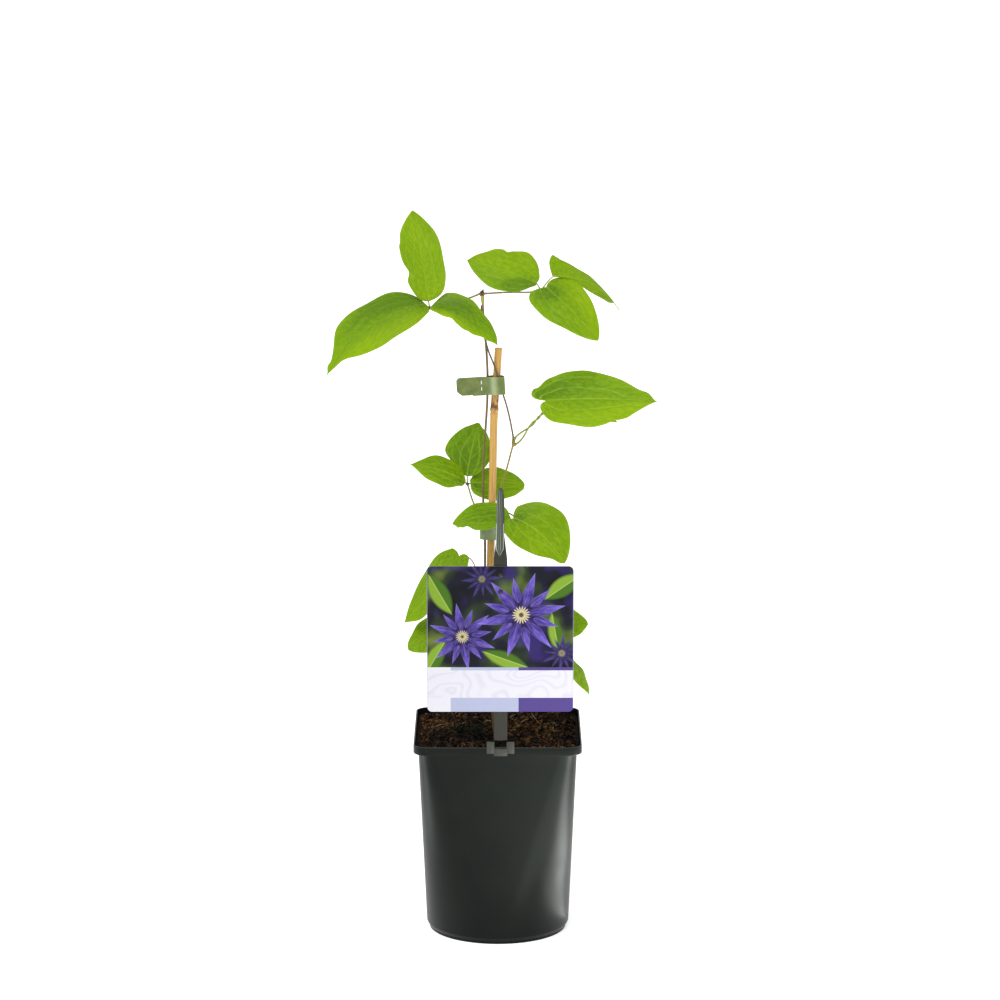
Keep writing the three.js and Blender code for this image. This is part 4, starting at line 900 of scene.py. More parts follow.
def twine(side):
    """Points of one of two stalks that wind round a straight line: radius (cos a, sin a) across it, with
    a = pi (0.5 + 3.5 t^2.5), so that each turn is shorter and tighter than the last, and a loose start."""
    axis = TWINE_TO - TWINE_FROM
    across = unit(np.cross(axis, Z_AXIS))
    upward = unit(np.cross(across, axis))
    t = (np.arange(TWINE_POINTS) + 1)[:, None] / TWINE_POINTS
    angle = np.pi * (0.5 + TWINE_HALF_TURNS * t**TWINE_SHORTENING)
    loose = TWINE_LOOSE * bell(t - TWINE_LOOSE_AT, TWINE_LOOSE_REACH)
    reach = side * (TWINE_RADIUS * (1 - TWINE_TIGHTENING * t) + loose)
    return TWINE_FROM + axis * t + across * reach * np.cos(angle) + upward * reach * np.sin(angle)


# each leaf: its stalk, which ends where the leaflets part, and its leaflets
# the shade rows of each leaflet are painted light and shade: darker and lighter zones for how the light falls
# on it
LEAVES = {
    "leaf_top_left": ([(-13.4, -0.3, 503.2), (-21, -3, 500.5), (-36, -14, 497.5), (-51.8, -27, 496)], [
        leaflet((-52.5, -24.5, 500.8), (-65.6, 14, 565.8), (0.1, -0.86, 0.5), (14, 17.5), (0.6, 0.36),
                ((0, 1), (-0.02, 0.75)), (0.06, 0.35), 3, 0.1, ripple=(1, 2, 0.4),
                edge=[(1, 0.42, 0.06, 3), (1, 0.325, 0.035, -3.2), (-1, 0.48, 0.08, -2),
                      (-1, 0.66, 0.1, 1.5)],
                shade=[(0.3, -0.4, 0.22, 0.5, -0.15), (0.75, 0.2, 0.3, 0.9, -0.3), (0.1, 0, 0.2, 1.2, -0.3)]),
        leaflet((-55, -26, 499), (-129, -57, 449), (-0.1, -0.5, 0.85), (24, 23), (0.5, 0.42),
                ((0.02, 0.9), (0.02, 0.9)), (0.12, 0.12), 15, 0.08, (1.5, 2, 0),
                edge=[(-1, 0.67, 0.09, 4), (-1, 0.93, 0.04, 2.5), (1, 0.08, 0.07, -4),
                      (1, 0.2, 0.06, -1.8), (1, 0.47, 0.1, 4.8), (1, 0.76, 0.1, -4.2)],
                shade=[(0.3, -0.55, 0.32, 0.6, 0.6), (0.1, 0.3, 0.1, 0.5, 0.4),
                       (0.5, 0.75, 0.4, 0.4, -0.35)], clear=0.25),
        leaflet((-50, -27, 498), (0, -46, 470), (0.1, -0.5, 0.85), (20, 16), (0.2, 0.62),
                ((0.04, 0.9), (0.02, 0.5)), (0.1, 0.2), 13, -0.05, (1.2, 2, 0),
                edge=[(1, 0.15, 0.1, 4.4), (1, 0.63, 0.11, -5), (1, 0.9, 0.06, 1.2),
                      (-1, 0.35, 0.035, -3), (-1, 0.44, 0.03, 1.5), (-1, 0.67, 0.09, -2.6)],
                shade=[(0.4, 0.1, 0.4, 0.7, 0.5), (0.35, -0.85, 0.25, 0.3, -0.5)], clear=0.15),
    ]),
    "leaf_top_right": ([(-10.2, -0.4, 503.3), (10, -5, 505), (25, -8, 505.5), (33, -8.5, 507)], [
        leaflet((30, -10, 513), (-23.5, 3, 528.4), (0, -0.8, 0.6), (16, 20), (0.5, 0.38),
                ((0.03, 0.5), (0.05, 0.7)), (0.08, 0.3), 3, -0.12, ripple=(1, 2, 0.85),
                edge=[(-1, 0.85, 0.12, 1.7), (-1, 0.68, 0.06, 1), (-1, 0.42, 0.08, 3.2),
                      (-1, 0.545, 0.025, -1.6), (-1, 0.14, 0.09, -3), (1, 0.17, 0.1, -3.3),
                      (1, 0.4, 0.05, 0.8)],
                shade=[(0.24, 0.5, 0.2, 0.5, 1.05), (0.6, -0.3, 0.4, 0.6, -0.3)]),
        leaflet((37, -12, 510), (76.4, -34, 472), (0.1, -0.75, 0.65), (21.5, 20), (0.27, 0.2),
                ((0.12, 0.5), (0.18, 0.55)), (0.03, 0.25), 3, -0.12,
                edge=[(1, 0.42, 0.08, 2), (-1, 0.09, 0.07, 1.5), (-1, 0.65, 0.2, -1)],
                shade=[(0.22, -0.1, 0.2, 0.6, 0.65), (0.6, 0.7, 0.4, 0.4, -0.35)], clear=0.35),
        leaflet((42, -8, 518), (94.3, 22, 487), (0.2, -0.2, 0.95), (14, 9), (0.06, 0.7),
                ((0.12, 1.35), (-0.2, 0)), (0.3, 0.1), 8.5, -0.1, (0.5, 2, 0), twist=50,
                edge=[(1, 0.3, 0.1, 4), (1, 0.42, 0.04, 1.2), (1, 0.58, 0.07, -1.8), (1, 0.87, 0.1, 4.2),
                      (1, 0.965, 0.04, 1.3), (-1, 0.42, 0.12, 2.5), (-1, 0.76, 0.13, 3), (-1, 0.96, 0.05, 1)],
                shade=[(0.5, 0.1, 0.6, 0.9, -0.15)]),
    ]),
    "leaf_right": ([(13.4, -3.4, 391.2), *twine(1), (36.6, -10.8, 418)], [
        leaflet((38, -12, 422), (122, -30, 424), (0, -0.8, 0.6), (24, 25.5), (0.33, 0.42),
                ((0.34, 0.12), (0.17, 0.08)), (0.1, 0.08), 4, 0.08, (1.5, 2, 0),
                edge=[(1, 0.25, 0.035, -2.8), (1, 0.33, 0.03, -1), (1, 0.43, 0.05, 1.1),
                      (-1, 0.27, 0.07, 1.8), (1, 0.55, 0.09, -2), (1, 0.88, 0.07, 2.9),
                      (-1, 0.4, 0.06, -1), (-1, 0.6, 0.03, -1.1), (-1, 0.7, 0.04, 1)],
                shade=[(0.2, 0.55, 0.25, 0.4, 0.45), (0.55, 0.3, 0.35, 0.4, 0.15),
                       (0.6, -0.7, 0.5, 0.4, -0.4)], clear=0.5),
    ]),
    "leaf_right_partner": ([(13.8, -2.6, 386.2), *twine(-1), (42, -3, 420)], [
        leaflet((48, 4, 424), (93, 8, 401.3), (0, -0.8, 0.6), (14, 13), (0.33, 0.33),
                ROUND, (0.1, 0.1), 3, 0.1),
    ]),
    "leaf_middle_left": ([(-12.8, 0.6, 329), (-15, 4, 331.5), (-19.2, 8, 339), (-23.6, 11.5, 352.5)], [
        leaflet((-25, 11, 354), (-68, 5, 369), (0, -0.7, 0.7), (13, 14), (0.45, 0.42),
                ((0.02, 0.4), (0.02, 0.4)), (0.1, 0.15), 5, -0.08,
                edge=[(1, 0.25, 0.1, -2.1), (1, 0.08, 0.05, -1.4), (-1, 0.12, 0.08, -1.4),
                      (-1, 0.65, 0.08, 0.6)],
                shade=[(0.15, 0.2, 0.15, 0.4, 0.5), (0.6, 0.3, 0.4, 0.5, 0.1)], clear=0.5),
        leaflet((-24, 14, 358), (-15, 22, 399), (-0.3, -0.9, 0.3), (21, 16), (0.45, 0.45),
                ((0, 0.3), (0, 0.3)), (0.03, 0.3), 2, -0.06,
                edge=[(1, 0.31, 0.06, -2), (1, 0.4, 0.07, 1.4), (1, 0.87, 0.08, -1.1),
                      (-1, 0.85, 0.07, -1.2)],
                shade=[(0.4, 0, 1, 2, 0.35), (0.25, 0.3, 0.2, 0.5, 0.3)], clear=0.55),
        leaflet((-21, 13, 353), (21, 22, 350), (0, -0.7, 0.7), (15, 16), (0.42, 0.42),
                ((0.05, 0.6), (0.05, 0.6)), (0, 0.35), 2, -0.1,
                edge=[(1, 0.16, 0.09, -3.5), (1, 0.7, 0.1, 0.9), (-1, 0.9, 0.05, 1)],
                shade=[(0.2, -0.3, 0.2, 0.4, 0.6), (0.7, 0.3, 0.4, 0.4, -0.2)], clear=0.5),
    ]),
    "leaf_pair_left": ([(2.7, -6, 333.8), (4.6, -7.6, 334.2), (6.6, -8, 333.8)], [
        leaflet((9, -10.5, 332.1), (-35, -26.5, 328.1), (0, -0.7, 0.7), (13, 14), (0.4, 0.4),
                ROUND, (0.05, 0.25), 4, -0.12,
                edge=[(-1, 0.12, 0.08, 1.5), (-1, 0.45, 0.08, 0.9), (1, 0.71, 0.05, -2.7),
                      (1, 0.87, 0.03, 1.3), (1, 0.38, 0.08, -3.5)],
                shade=[(0.5, 0.1, 0.5, 0.8, 0.35)], clear=0.45),
    ]),
    "leaf_pair_right": ([(2.7, -3.7, 333), (8.4, -5, 332.4), (12.2, -9, 331.2)], [
        leaflet((13, -19.5, 331.5), (51.5, -43.5, 301), (0.2, -0.7, 0.7), (30, 21), (0.3, 0.38),
                ((0.36, 0.45), (0.2, 0.2)), (0.03, 0.3), 8, -0.08, (0.5, 2, 0),
                edge=[(1, 0.07, 0.03, 1.5), (1, 0.12, 0.035, 2.4), (1, 0.205, 0.03, -1.2),
                      (-1, 0.08, 0.06, 1.6), (-1, 0.77, 0.1, -3)],
                shade=[(0.15, 0, 0.16, 0.6, 0.45), (0.7, -0.5, 0.4, 0.5, -0.2)], clear=0.6),
    ]),
    "leaf_lower_left": ([(-11.4, -2.4, 262.6), (-13.4, -3, 269), (-15, -4, 276)], [
        leaflet((-30, -12, 300), (-72, -27, 251), (-0.2, -0.8, 0.6), (18, 14.5), (0.35, 0.3),
                ((0.18, 0.08), (0.1, 0.5)), (0.1, 0.15), 5, 0.08,
                via=[(-17.4, -6, 290), (-22.3, -9, 298)],
                edge=[(1, 0.15, 0.06, 1), (-1, 0.13, 0.06, 2), (-1, 0.6, 0.2, -3.6), (1, 0.83, 0.13, 5)]),
        leaflet((-37, -10, 246), (-69, -28, 229), (-0.2, -0.8, 0.6), (16, 15), (0.4, 0.4),
                ROUND, (0.03, 0.4), 4, -0.08, via=[(-24, -8, 266), (-32, -9, 254)],
                edge=[(-1, 0.65, 0.15, -2.2)]),
        leaflet((-21, 14, 268), (-42, 52, 250), (-0.3, -0.1, 0.95), (15, 15), (0.38, 0.38),
                ((0.08, 0.5), (0.08, 0.5)), (0.08, 0.2), 6, -0.08, via=[(-17, 4, 274)]),
    ]),
    "leaf_lower_right": ([(3.7, -4.5, 256.2), (9, -4.8, 254.4), (14, -4, 252)], [
        leaflet((24, -5, 249), (70, -22, 248), (0.2, -0.8, 0.6), (15, 19), (0.42, 0.45),
                ROUND, (0.03, 0.4), 3, -0.08, via=[(18, -4.6, 250.6)],
                edge=[(1, 0.72, 0.15, -1.2), (-1, 0.82, 0.1, 1.6)]),
        leaflet((49, -5, 224), (71, -22, 192), (0.8, -0.35, 0.45), (11, 17), (0.4, 0.4),
                ROUND, (0.1, 0.15), 2.5, -0.08, via=[(24, 0, 244), (38, 1, 233)],
                edge=[(1, 0.8, 0.15, 2.2), (1, 0.5, 0.08, -0.8)]),
        leaflet((24, 16, 246), (46, 54, 228), (0.3, -0.1, 0.95), (15, 15), (0.38, 0.38),
                ((0.08, 0.5), (0.08, 0.5)), (0.08, 0.2), 6, -0.08, via=[(17, 5, 250)]),
    ]),
}
print("leaves:", len(LEAVES), "leaflets:", sum(len(row[1]) for row in LEAVES.values()))

# %% The blade's form
STEPS_ALONG = 110
STEPS_ACROSS = 30  # from the midrib to each edge
WIDEST = 0.45  # where on the outline's course the widest point lies
CROWDING = 0.55  # how much closer the steps lie at the leaflet's ends than in its middle


def bezier(p0, p1, p2, p3, t):
    """The cubic that leaves p0 towards p1 and reaches p3 from p2, at t from 0 to 1."""
    return (1 - t) ** 3 * p0 + 3 * (1 - t) ** 2 * t * p1 + 3 * (1 - t) * t**2 * p2 + t**3 * p3


def half_outline(belly, lobe, point, t):
    """Half of a leaflet's outline, along and across, both up to 1, at t from base to tip: one cubic from
    the stalk round the lobe to the widest point at belly, another from there to the tip."""
    back, out = lobe
    low, high = t / WIDEST, (t - WIDEST) / (1 - WIDEST)
    along = np.where(t < WIDEST, bezier(0, -back, 0.35 * belly - 0.6 * back, belly, low),
                     bezier(belly, belly + (1 - belly) / 2, 1 - point[0], 1, high))
    across = np.where(t < WIDEST, bezier(0, out, 1, 1, low), bezier(1, 1, point[1], 0, high))
    return along, across


def leaflet_frame(leaf):
    """The leaflet's length and its directions along, out of its upper face, and to its left."""
    along = leaf["tip"] - leaf["at"]
    length = np.linalg.norm(along)
    along = along / length
    face = unit(leaf["face"] - (leaf["face"] @ along) * along)
    return length, along, face, np.cross(face, along)


def midrib(leaf, a):
    """Points of the midrib at shares a of the length: straight from base to tip, plus 4a(1-a) arches."""
    length, along, face, _ = leaflet_frame(leaf)
    a = np.asarray(a, float)[..., None]
    return leaf["at"] + along * a * length + face * leaf["arch"] * 4 * a * (1 - a)


def blade_form(leaf, t, s):
    """The blade's middle surface at t and s. The point lies between the rib at t^1.5 and the outline at
    t, in the share |s|; it is lifted by the fold and by the edge's wave, and the whole cross-section is
    turned by the twist, which fades towards the tip. Also gives the direction up and the distance from
    rib to edge."""
    _, _, face, left = leaflet_frame(leaf)
    right_half = s <= 0
    outlines = [half_outline(leaf["belly"][h], leaf["lobe"][h], leaf["point"], t) for h in (0, 1)]
    out_along, out_across = (np.where(right_half, on_right, on_left) for on_left, on_right in zip(*outlines))
    wide = np.where(right_half, leaf["wide"][1], leaf["wide"][0])
    rib = t**1.5
    a = rib + np.abs(s) * (out_along - rib)
    b = np.abs(s) * out_across
    ripple_size, ripples, ripple_start = leaf["ripple"]
    amplitude, waves, wave_start = leaf["wave"]
    swell = ripple_size * np.sin(2 * np.pi * (ripples * a + ripple_start) + np.where(right_half, 0, 2))
    side = np.sign(s) * b * (wide + swell * b)
    for half, place, spread, out in leaf["edge"]:
        side = side + half * out * bell(t - place, spread) * s * s * (s * half > 0)
    wave = np.sin(2 * np.pi * (waves * a + wave_start) + np.where(right_half, 0, 1.3))
    lift = leaf["fold"] * np.abs(side) + amplitude * wave * b * b
    turn = np.radians(leaf["twist"]) * (1 - a)[..., None]
    up = face * np.cos(turn) - left * np.sin(turn)
    across = left * np.cos(turn) + face * np.sin(turn)
    point = midrib(leaf, a) + across * side[..., None] + up * lift[..., None]
    return point, up, wide * out_across


test_leaf = LEAVES["leaf_right"][1][0]
print("leaf_right is", round(leaflet_frame(test_leaf)[0], 1), "mm long")

# %% The blade's veins
INNER_VEIN, OUTER_VEIN = 0.4, 0.74  # shares of the way from the rib to the edge
BRANCH_SPACING = 9.0  # mm along the rib from one side vein to the next
BRANCH_SLANT = 0.3  # how far a side vein runs towards the tip on its way to the edge
RIB_WIDTH, INNER_WIDTH, OUTER_WIDTH, BRANCH_WIDTH = 0.6, 0.3, 0.27, 0.27  # mm, from middle to side
VEIN_DEPTH, PUFF = 0.2, 0.5  # mm
CELL_SIZE = 5.4  # mm across one puffed cell of tissue
BORDER_WIDTH = 0.3  # of a cell
EDGE_HALF, TISSUE_HALF = 0.05, 0.15  # mm, half the thickness at the edge, and what the middle adds


def fade(value, end, over):
    """1 up to end - over, from there in a straight line to 0 at end."""
    return np.clip((end - value) / over, 0, 1)


def cell_borders(u, v, size):
    """How near each point lies to a border between cells, from 0 in a cell to 1 on its border. Each square
    of a net holds one centre, pushed about at random; borders are where the nearest two centres are
    equally far: exp(-((second - first) / border width)^2)."""
    i, j = np.floor(u / size).astype(int), np.floor(v / size).astype(int)
    far = []
    for k, m in np.ndindex(3, 3):
        column, row = i + k - 1, j + m - 1
        centre_u = column + 0.5 + 0.42 * lattice[column % 64, row % 64]
        centre_v = row + 0.5 + 0.42 * lattice[(column + 17) % 64, (row + 31) % 64]
        far.append(np.hypot(u / size - centre_u, v / size - centre_v))
    far = np.sort(far, axis=0)
    return bell(far[1] - far[0], BORDER_WIDTH)


def vein_field(leaf, t, s, reach):
    """How much of a vein there is at each point, from 0 to 1, and how much the tissue is sunk between its
    cells. A vein is exp(-(distance / width)^2), and the rib's width halves towards the tip. The distance
    to the rib and to the arching veins is the difference in |s| times the half width; side veins come
    where t - slant |s|^0.8 is a multiple of a spacing. Random shifts of a millimetre or two bend all but
    the rib."""
    length = leaflet_frame(leaf)[0]
    reach = np.maximum(reach, 0.5)
    u, v = t * length + 3 * leaf["at"][0], s * reach
    share = np.abs(s) + 1.6 * lumps(u, v + 60, 13) / np.maximum(reach, 8) * np.minimum(np.abs(s) * 4, 1)
    rib = bell(np.abs(s) * reach, RIB_WIDTH * (1 - t / 2))
    inner = bell((share - INNER_VEIN) * reach, INNER_WIDTH) * fade(t, 0.97, 0.3)
    outer = 0.8 * bell((share - OUTER_VEIN) * reach, OUTER_WIDTH) * fade(t, 0.75, 0.3)
    branches = max(4, round(length / BRANCH_SPACING))
    bent = t + 2.2 * lumps(u + 90, v, 9) / length
    phase = branches * (bent - BRANCH_SLANT * np.abs(s) ** 0.8) + np.where(s > 0, 0.5, 0)
    off = np.abs(phase - np.round(phase)) / branches * length
    branch = 0.75 * bell(off, BRANCH_WIDTH) * fade(np.abs(s), 0.98, 0.1)
    vein = np.maximum.reduce([rib, inner, outer, branch])
    crease = cell_borders(u + 1.2 * lumps(u, v, 5), v, CELL_SIZE) * np.clip(reach / 8, 0, 1)
    return vein, np.maximum(crease, vein * 0.8)


def blade_tone(leaf, t, s):
    """Painted light and shade on the leaflet, zones of darker and lighter green for how the light falls on
    it: the sum of amount exp(-d^2) round each.
    """
    return sum((amount * bell(t - place_t, reach_t) * bell(s - place_s, reach_s)
                for place_t, place_s, reach_t, reach_s, amount in leaf["shade"]), np.zeros(t.shape))


def blade_surface(leaf):
    """The leaflet as a thin shell: rows of points across the blade between one point at the base and one
    at the tip. The upper side is lowered at the veins and between the cells of tissue, the lower side
    stands out there, and the thickness of 0.4 mm fades to the edge."""
    step = np.linspace(0, 1, STEPS_ALONG + 1)[1:-1]
    t = (step - CROWDING * np.sin(2 * np.pi * step) / (2 * np.pi))[:, None]
    s = np.linspace(-1, 1, 2 * STEPS_ACROSS + 1)[None, :]
    t, s = np.broadcast_arrays(t, s)
    point, up, reach = blade_form(leaf, t, s)
    vein, crease = vein_field(leaf, t, s, reach)
    rows, columns = t.shape
    ends = midrib(leaf, np.array([0.0, 1.0]))
    ends_up = up[[0, -1], STEPS_ACROSS]
    start, end = rows * columns, rows * columns + 1
    j = np.arange(columns - 1)
    last = (rows - 1) * columns
    fans = np.concatenate([fan(start, j, j + 1), fan(end, last + j + 1, last + j)])
    thin = EDGE_HALF + TISSUE_HALF * (1 - np.abs(s) ** 6)
    relief = VEIN_DEPTH * vein + PUFF * (crease - 0.5) * (1 - np.abs(s) ** 8)

    def flat(values, at_ends):
        """The grid's values in a row, followed by one for each end point."""
        return np.concatenate([values.ravel(), [at_ends, at_ends]])

    return shell(np.concatenate([point.reshape(-1, 3), ends]), np.concatenate([up.reshape(-1, 3), ends_up]),
                 flat(thin - relief, EDGE_HALF), flat(thin + relief, EDGE_HALF), grid_quads(rows, columns),
                 fans, vein=flat(vein * leaf["clear"], 0.5), crease=flat(crease, 0.0),
                 across=flat(np.abs(s), 0.0), tone=flat(blade_tone(leaf, t, s), 0.0))


STALK_RADIUS, STALKLET_RADIUS = 0.73, 0.6
STALK_SUNK, STALK_FOOT, RIB_BELOW = 1.2, 0.35, 0.85  # mm into the stem, thicker there, and under the midrib
JOINT_FROM, JOINT_TO = -1.6, 0.9  # mm along the stalk's end
JOINT_RADIUS = [(0, 0.7), (0.4, 1.3), (0.75, 1.4), (1, 0.6)]  # share of the joint, and mm
RIB_SHARES = np.array([0.01, 0.07, 0.16])


def stalk_surfaces(stalk, leaflets):
    """The leaf's stalk, pushed 1.2 mm into the stem, each leaflet's own stalk to under its midrib, and the
    brown joint where three part. Each comes with the number of its material."""
    stalk = np.array(stalk, float)
    root = stalk[0] + STALK_SUNK * unit(stalk[0] - stalk[1])
    route = smooth_route(np.vstack([root, stalk]), 12 * len(stalk))
    u = np.linspace(0, 1, len(route))
    size = STALK_RADIUS * (1 - u / 6) + STALK_FOOT * bell(u, 0.05)
    surfaces = [(tube(route, size, 12, ridges=5, ridge=0.06), 1)]
    if len(leaflets) > 2:
        joint = stalk[-1] + np.linspace(JOINT_FROM, JOINT_TO, 12)[:, None] * unit(stalk[-1] - stalk[-2])
        surfaces.append((knob(joint, JOINT_RADIUS, 12), 3))
    for leaf in leaflets:
        under = midrib(leaf, RIB_SHARES) - RIB_BELOW * leaflet_frame(leaf)[2]
        through = np.vstack([stalk[-1:], leaf["via"].reshape(-1, 3), under])
        route = smooth_route(through, 12 * len(through))
        u = np.linspace(0, 1, len(route))
        surfaces.append((tube(route, STALKLET_RADIUS * (1 - u / 2), 12, ridges=5, ridge=0.06), 2))
    return surfaces


print("each blade has", STEPS_ALONG - 1, "rows of", 2 * STEPS_ACROSS + 1, "points")


# %% [markdown]
# ### Leaf blade and stalk skin
#
# A young clematis leaf is yellow-green. Darker and lighter zones for the light and shade that fall on each
# leaflet are painted into its green. Its skin is satin, with broad dull lights on the puffed cells of
# tissue. The main veins are paler, the creases between the cells are painted darker as shade in their
# hollows, the underside is greyer, and the very edge is a thin yellow line. A little subsurface scattering
# with a short radius stands for the light that passes through.

# %% Leaf materials
def leaf_blade():
    """Yellow-green tissue: the leaflet's zones of painted light and shade, clouds at 20 mm and mottles at 3
    mm choose the green; pale veins, creases darkened as painted shade, a net of cells 2.6 mm wide, a greyer
    underside and a yellow edge line."""
    material, tree = start_material("young clematis leaf", Subsurface_Weight=0.12, Subsurface_Scale=0.0015,
                                    Subsurface_Radius=(0.8, 1.0, 0.2), Specular_IOR_Level=0.1)
    place = add_node(tree, "TexCoord", output="Object")
    crease, vein, under, across, dark = (add_node(tree, "Attribute", attribute_name=name, output="Fac")
                                         for name in ("crease", "vein", "under", "across", "tone"))
    clouds = add_node(tree, "TexNoise", [place, 45.0, 3.0])
    mottles = add_node(tree, "TexNoise", [place, 300.0, 3.0])
    # painted light and shade: the tone attribute holds each leaflet's zones of light and shade, and the
    # creases are darkened as painted shade
    for part, amount in ((clouds, 0.45), (mottles, 0.36), (crease, 0.17)):
        dark = add_node(tree, "Math", [part, amount, dark], operation="MULTIPLY_ADD")
    tissue = add_node(tree, "ValToRGB", [dark], [(0.0, "#86a604"), (0.3, "#799a05"), (0.67, "#688c0a"),
                                                 (0.9, "#587b0f")])
    veined = add_node(tree, "Mix", [vein, tissue, "#a3bf3c"], data_type="RGBA")
    paler = add_node(tree, "Math", [under, 0.45], operation="MULTIPLY")
    two_sided = add_node(tree, "Mix", [paler, veined, "#87a05a"], data_type="RGBA")
    edge = add_node(tree, "MapRange", [across, 0.965, 1.0, 0.0, 0.5])
    colour = add_node(tree, "Mix", [edge, two_sided, "#90a022"], data_type="RGBA")
    gloss = add_node(tree, "MapRange", [clouds, 0.0, 1.0, 0.36, 0.55])
    net = add_node(tree, "TexVoronoi", [place, 380.0], feature="DISTANCE_TO_EDGE")
    relief = add_node(tree, "Bump", {"Height": net, "Strength": 0.3, "Distance": 0.0004})
    link_shader(tree, colour, gloss, relief)
    return material


blade_skin = leaf_blade()
stalk_skin = stem_skin("leaf stalk skin", "#808b2c", "#7c743c", 450, 40, "#665c2a")
stalklet_skin = stem_skin("young leaf stalk skin", "#7f961c", "#87991f", 450, 40, "#80702a")
joint_skin = stem_skin("brown stalk joint", "#5c4a20", "#54401e", 450, 40, "#33240f")

# %% Build the leaves
for leaf_name, (leaf_stalk, leaflets) in LEAVES.items():
    blades = [(blade_surface(leaf), 0) for leaf in leaflets]
    make_piece(leaf_name.replace("leaf", "foliage"), blades + stalk_surfaces(leaf_stalk, leaflets),
               [blade_skin, stalk_skin, stalklet_skin, joint_skin], "leaf", leaf_name)

# %% [markdown]
# ## The plant ties
#
# Each tie is a 14 mm wide strap of soft sage-green plastic, cut from a roll with a row of slots along
# it, laid round cane and stems and closed by pressing its end through a slot. It is one sheet carried
# along a flat route: out along the front layer, round the loop, and back as the rear layer. Cells of
# the grid that lie in a slot are left out, and the shell builds the slots' walls by itself.

# %% Strap shape
STRAP_WIDTH, STRAP_HALF_THICKNESS = 14.0, 0.3
SLOT_WIDTH, SLOT_HEIGHT, SLOT_OFFSET = 0.7, 2.6, 2.4
STRAP_CELL = 0.35
STRETCH, STRETCH_X, STRETCH_REACH = 0.75, -2.5, 2.6  # how strongly a highlight is painted on the plastic where it lies over the cane


def strap(through, bottom, low=((0, 0),), high=((0, STRAP_WIDTH),), drop=0.0, slot_x=math.inf, tilt=0.0):
    """A band along a route in the XY plane, with its lower edge at the height bottom. Above that it runs
    from low to high, (x, z) tables that shape the chipped end and hold for the first third of the route;
    drop lowers the last fifth, cells in the slots at slot_x are left out, and the band is tilted about Y.
    The bell across the front layer, where it lies over the cane, is a painted highlight."""
    steps = int(np.sum(np.linalg.norm(np.diff(np.array(through, float), axis=0), axis=1)) / STRAP_CELL)
    route = smooth_route(through, steps)
    u = np.linspace(0, 1, steps)[:, None]
    x, y = route[:, :1], route[:, 1:]
    low_edge, high_edge = (np.where(u < 0.33, np.interp(x, *zip(*table)), level)
                           for table, level in ((low, 0.0), (high, STRAP_WIDTH)))
    v = np.linspace(0, 1, int(STRAP_WIDTH / STRAP_CELL) + 1)[None, :]
    z = low_edge + (high_edge - low_edge) * v - drop * np.clip((u - 0.8) / 0.05, 0, 1)
    along = unit(np.gradient(route, axis=0))
    up = grid_points(along[:, 1:], -along[:, :1], np.zeros_like(z))
    point = grid_points(x, y, z).reshape(-1, 3)
    quads = grid_quads(*z.shape)
    middle = point[quads].mean(axis=1)
    off = np.abs(middle[:, 2] - STRAP_WIDTH / 2)
    in_slot = ((np.abs(middle[:, 0] - slot_x) < SLOT_WIDTH / 2)
               & (np.abs(off - SLOT_OFFSET) < SLOT_HEIGHT / 2))
    angle = np.radians(tilt)
    turn = np.array([[np.cos(angle), 0, np.sin(angle)], [0, 1, 0], [-np.sin(angle), 0, np.cos(angle)]])
    half = np.full(len(point), STRAP_HALF_THICKNESS)
    # painted highlight: a bell across the front layer where the strap lies over the cane
    stretch = STRETCH * bell(point[:, 0] - STRETCH_X, STRETCH_REACH) * (point[:, 1] < 0)
    return shell(point @ turn + bottom * Z_AXIS, up.reshape(-1, 3) @ turn, half, half, quads[~in_slot],
                 stretch=stretch)


UPPER_TIE_ROUTE = [(-31.3, -0.32), (-24, -0.32), (-17, -0.32), (-11.2, -0.4), (-8.5, -1.95), (-4.1, -4.6),
                   (0, -6.1), (3.6, -6.2), (5.6, -5.2), (5.5, -2.5), (3.45, 1.6), (0.6, 3.8), (-2.6, 4.1),
                   (-5.7, 3.2), (-8.6, 1.9), (-11.2, 0.45), (-15, 0.32), (-19, 0.32)]
UPPER_TIE_LOW = [(-31.3, 4.5), (-30.9, 2.8), (-27.3, 0)]
UPPER_TIE_HIGH = [(-31.3, 12), (-29.7, 14)]
LOWER_TIE_ROUTE = [(1.2, 20), (1.2, 12), (1.2, 5.5), (0.9, 2.6), (-1.7, 4.2), (-5, 4.5), (-8.7, 3.5),
                   (-11.8, 1.9), (-13.6, -1), (-11.5, -3.2), (-7.1, -4.8), (-2, -5.7), (1.6, -5.9),
                   (3.3, -4.6), (3.2, -2.1), (1.9, 1.6)]
print("places on the ties' routes:", len(UPPER_TIE_ROUTE), "and", len(LOWER_TIE_ROUTE))


# %% [markdown]
# ### Soft green strap plastic
#
# The strap is matt-surfaced soft PVC in a greyed sage green, with small nicks and dark specks of dirt;
# where it bends over the cane a highlight is painted on it. It is a millimetre thin at most, so it gets no
# pattern of its own.

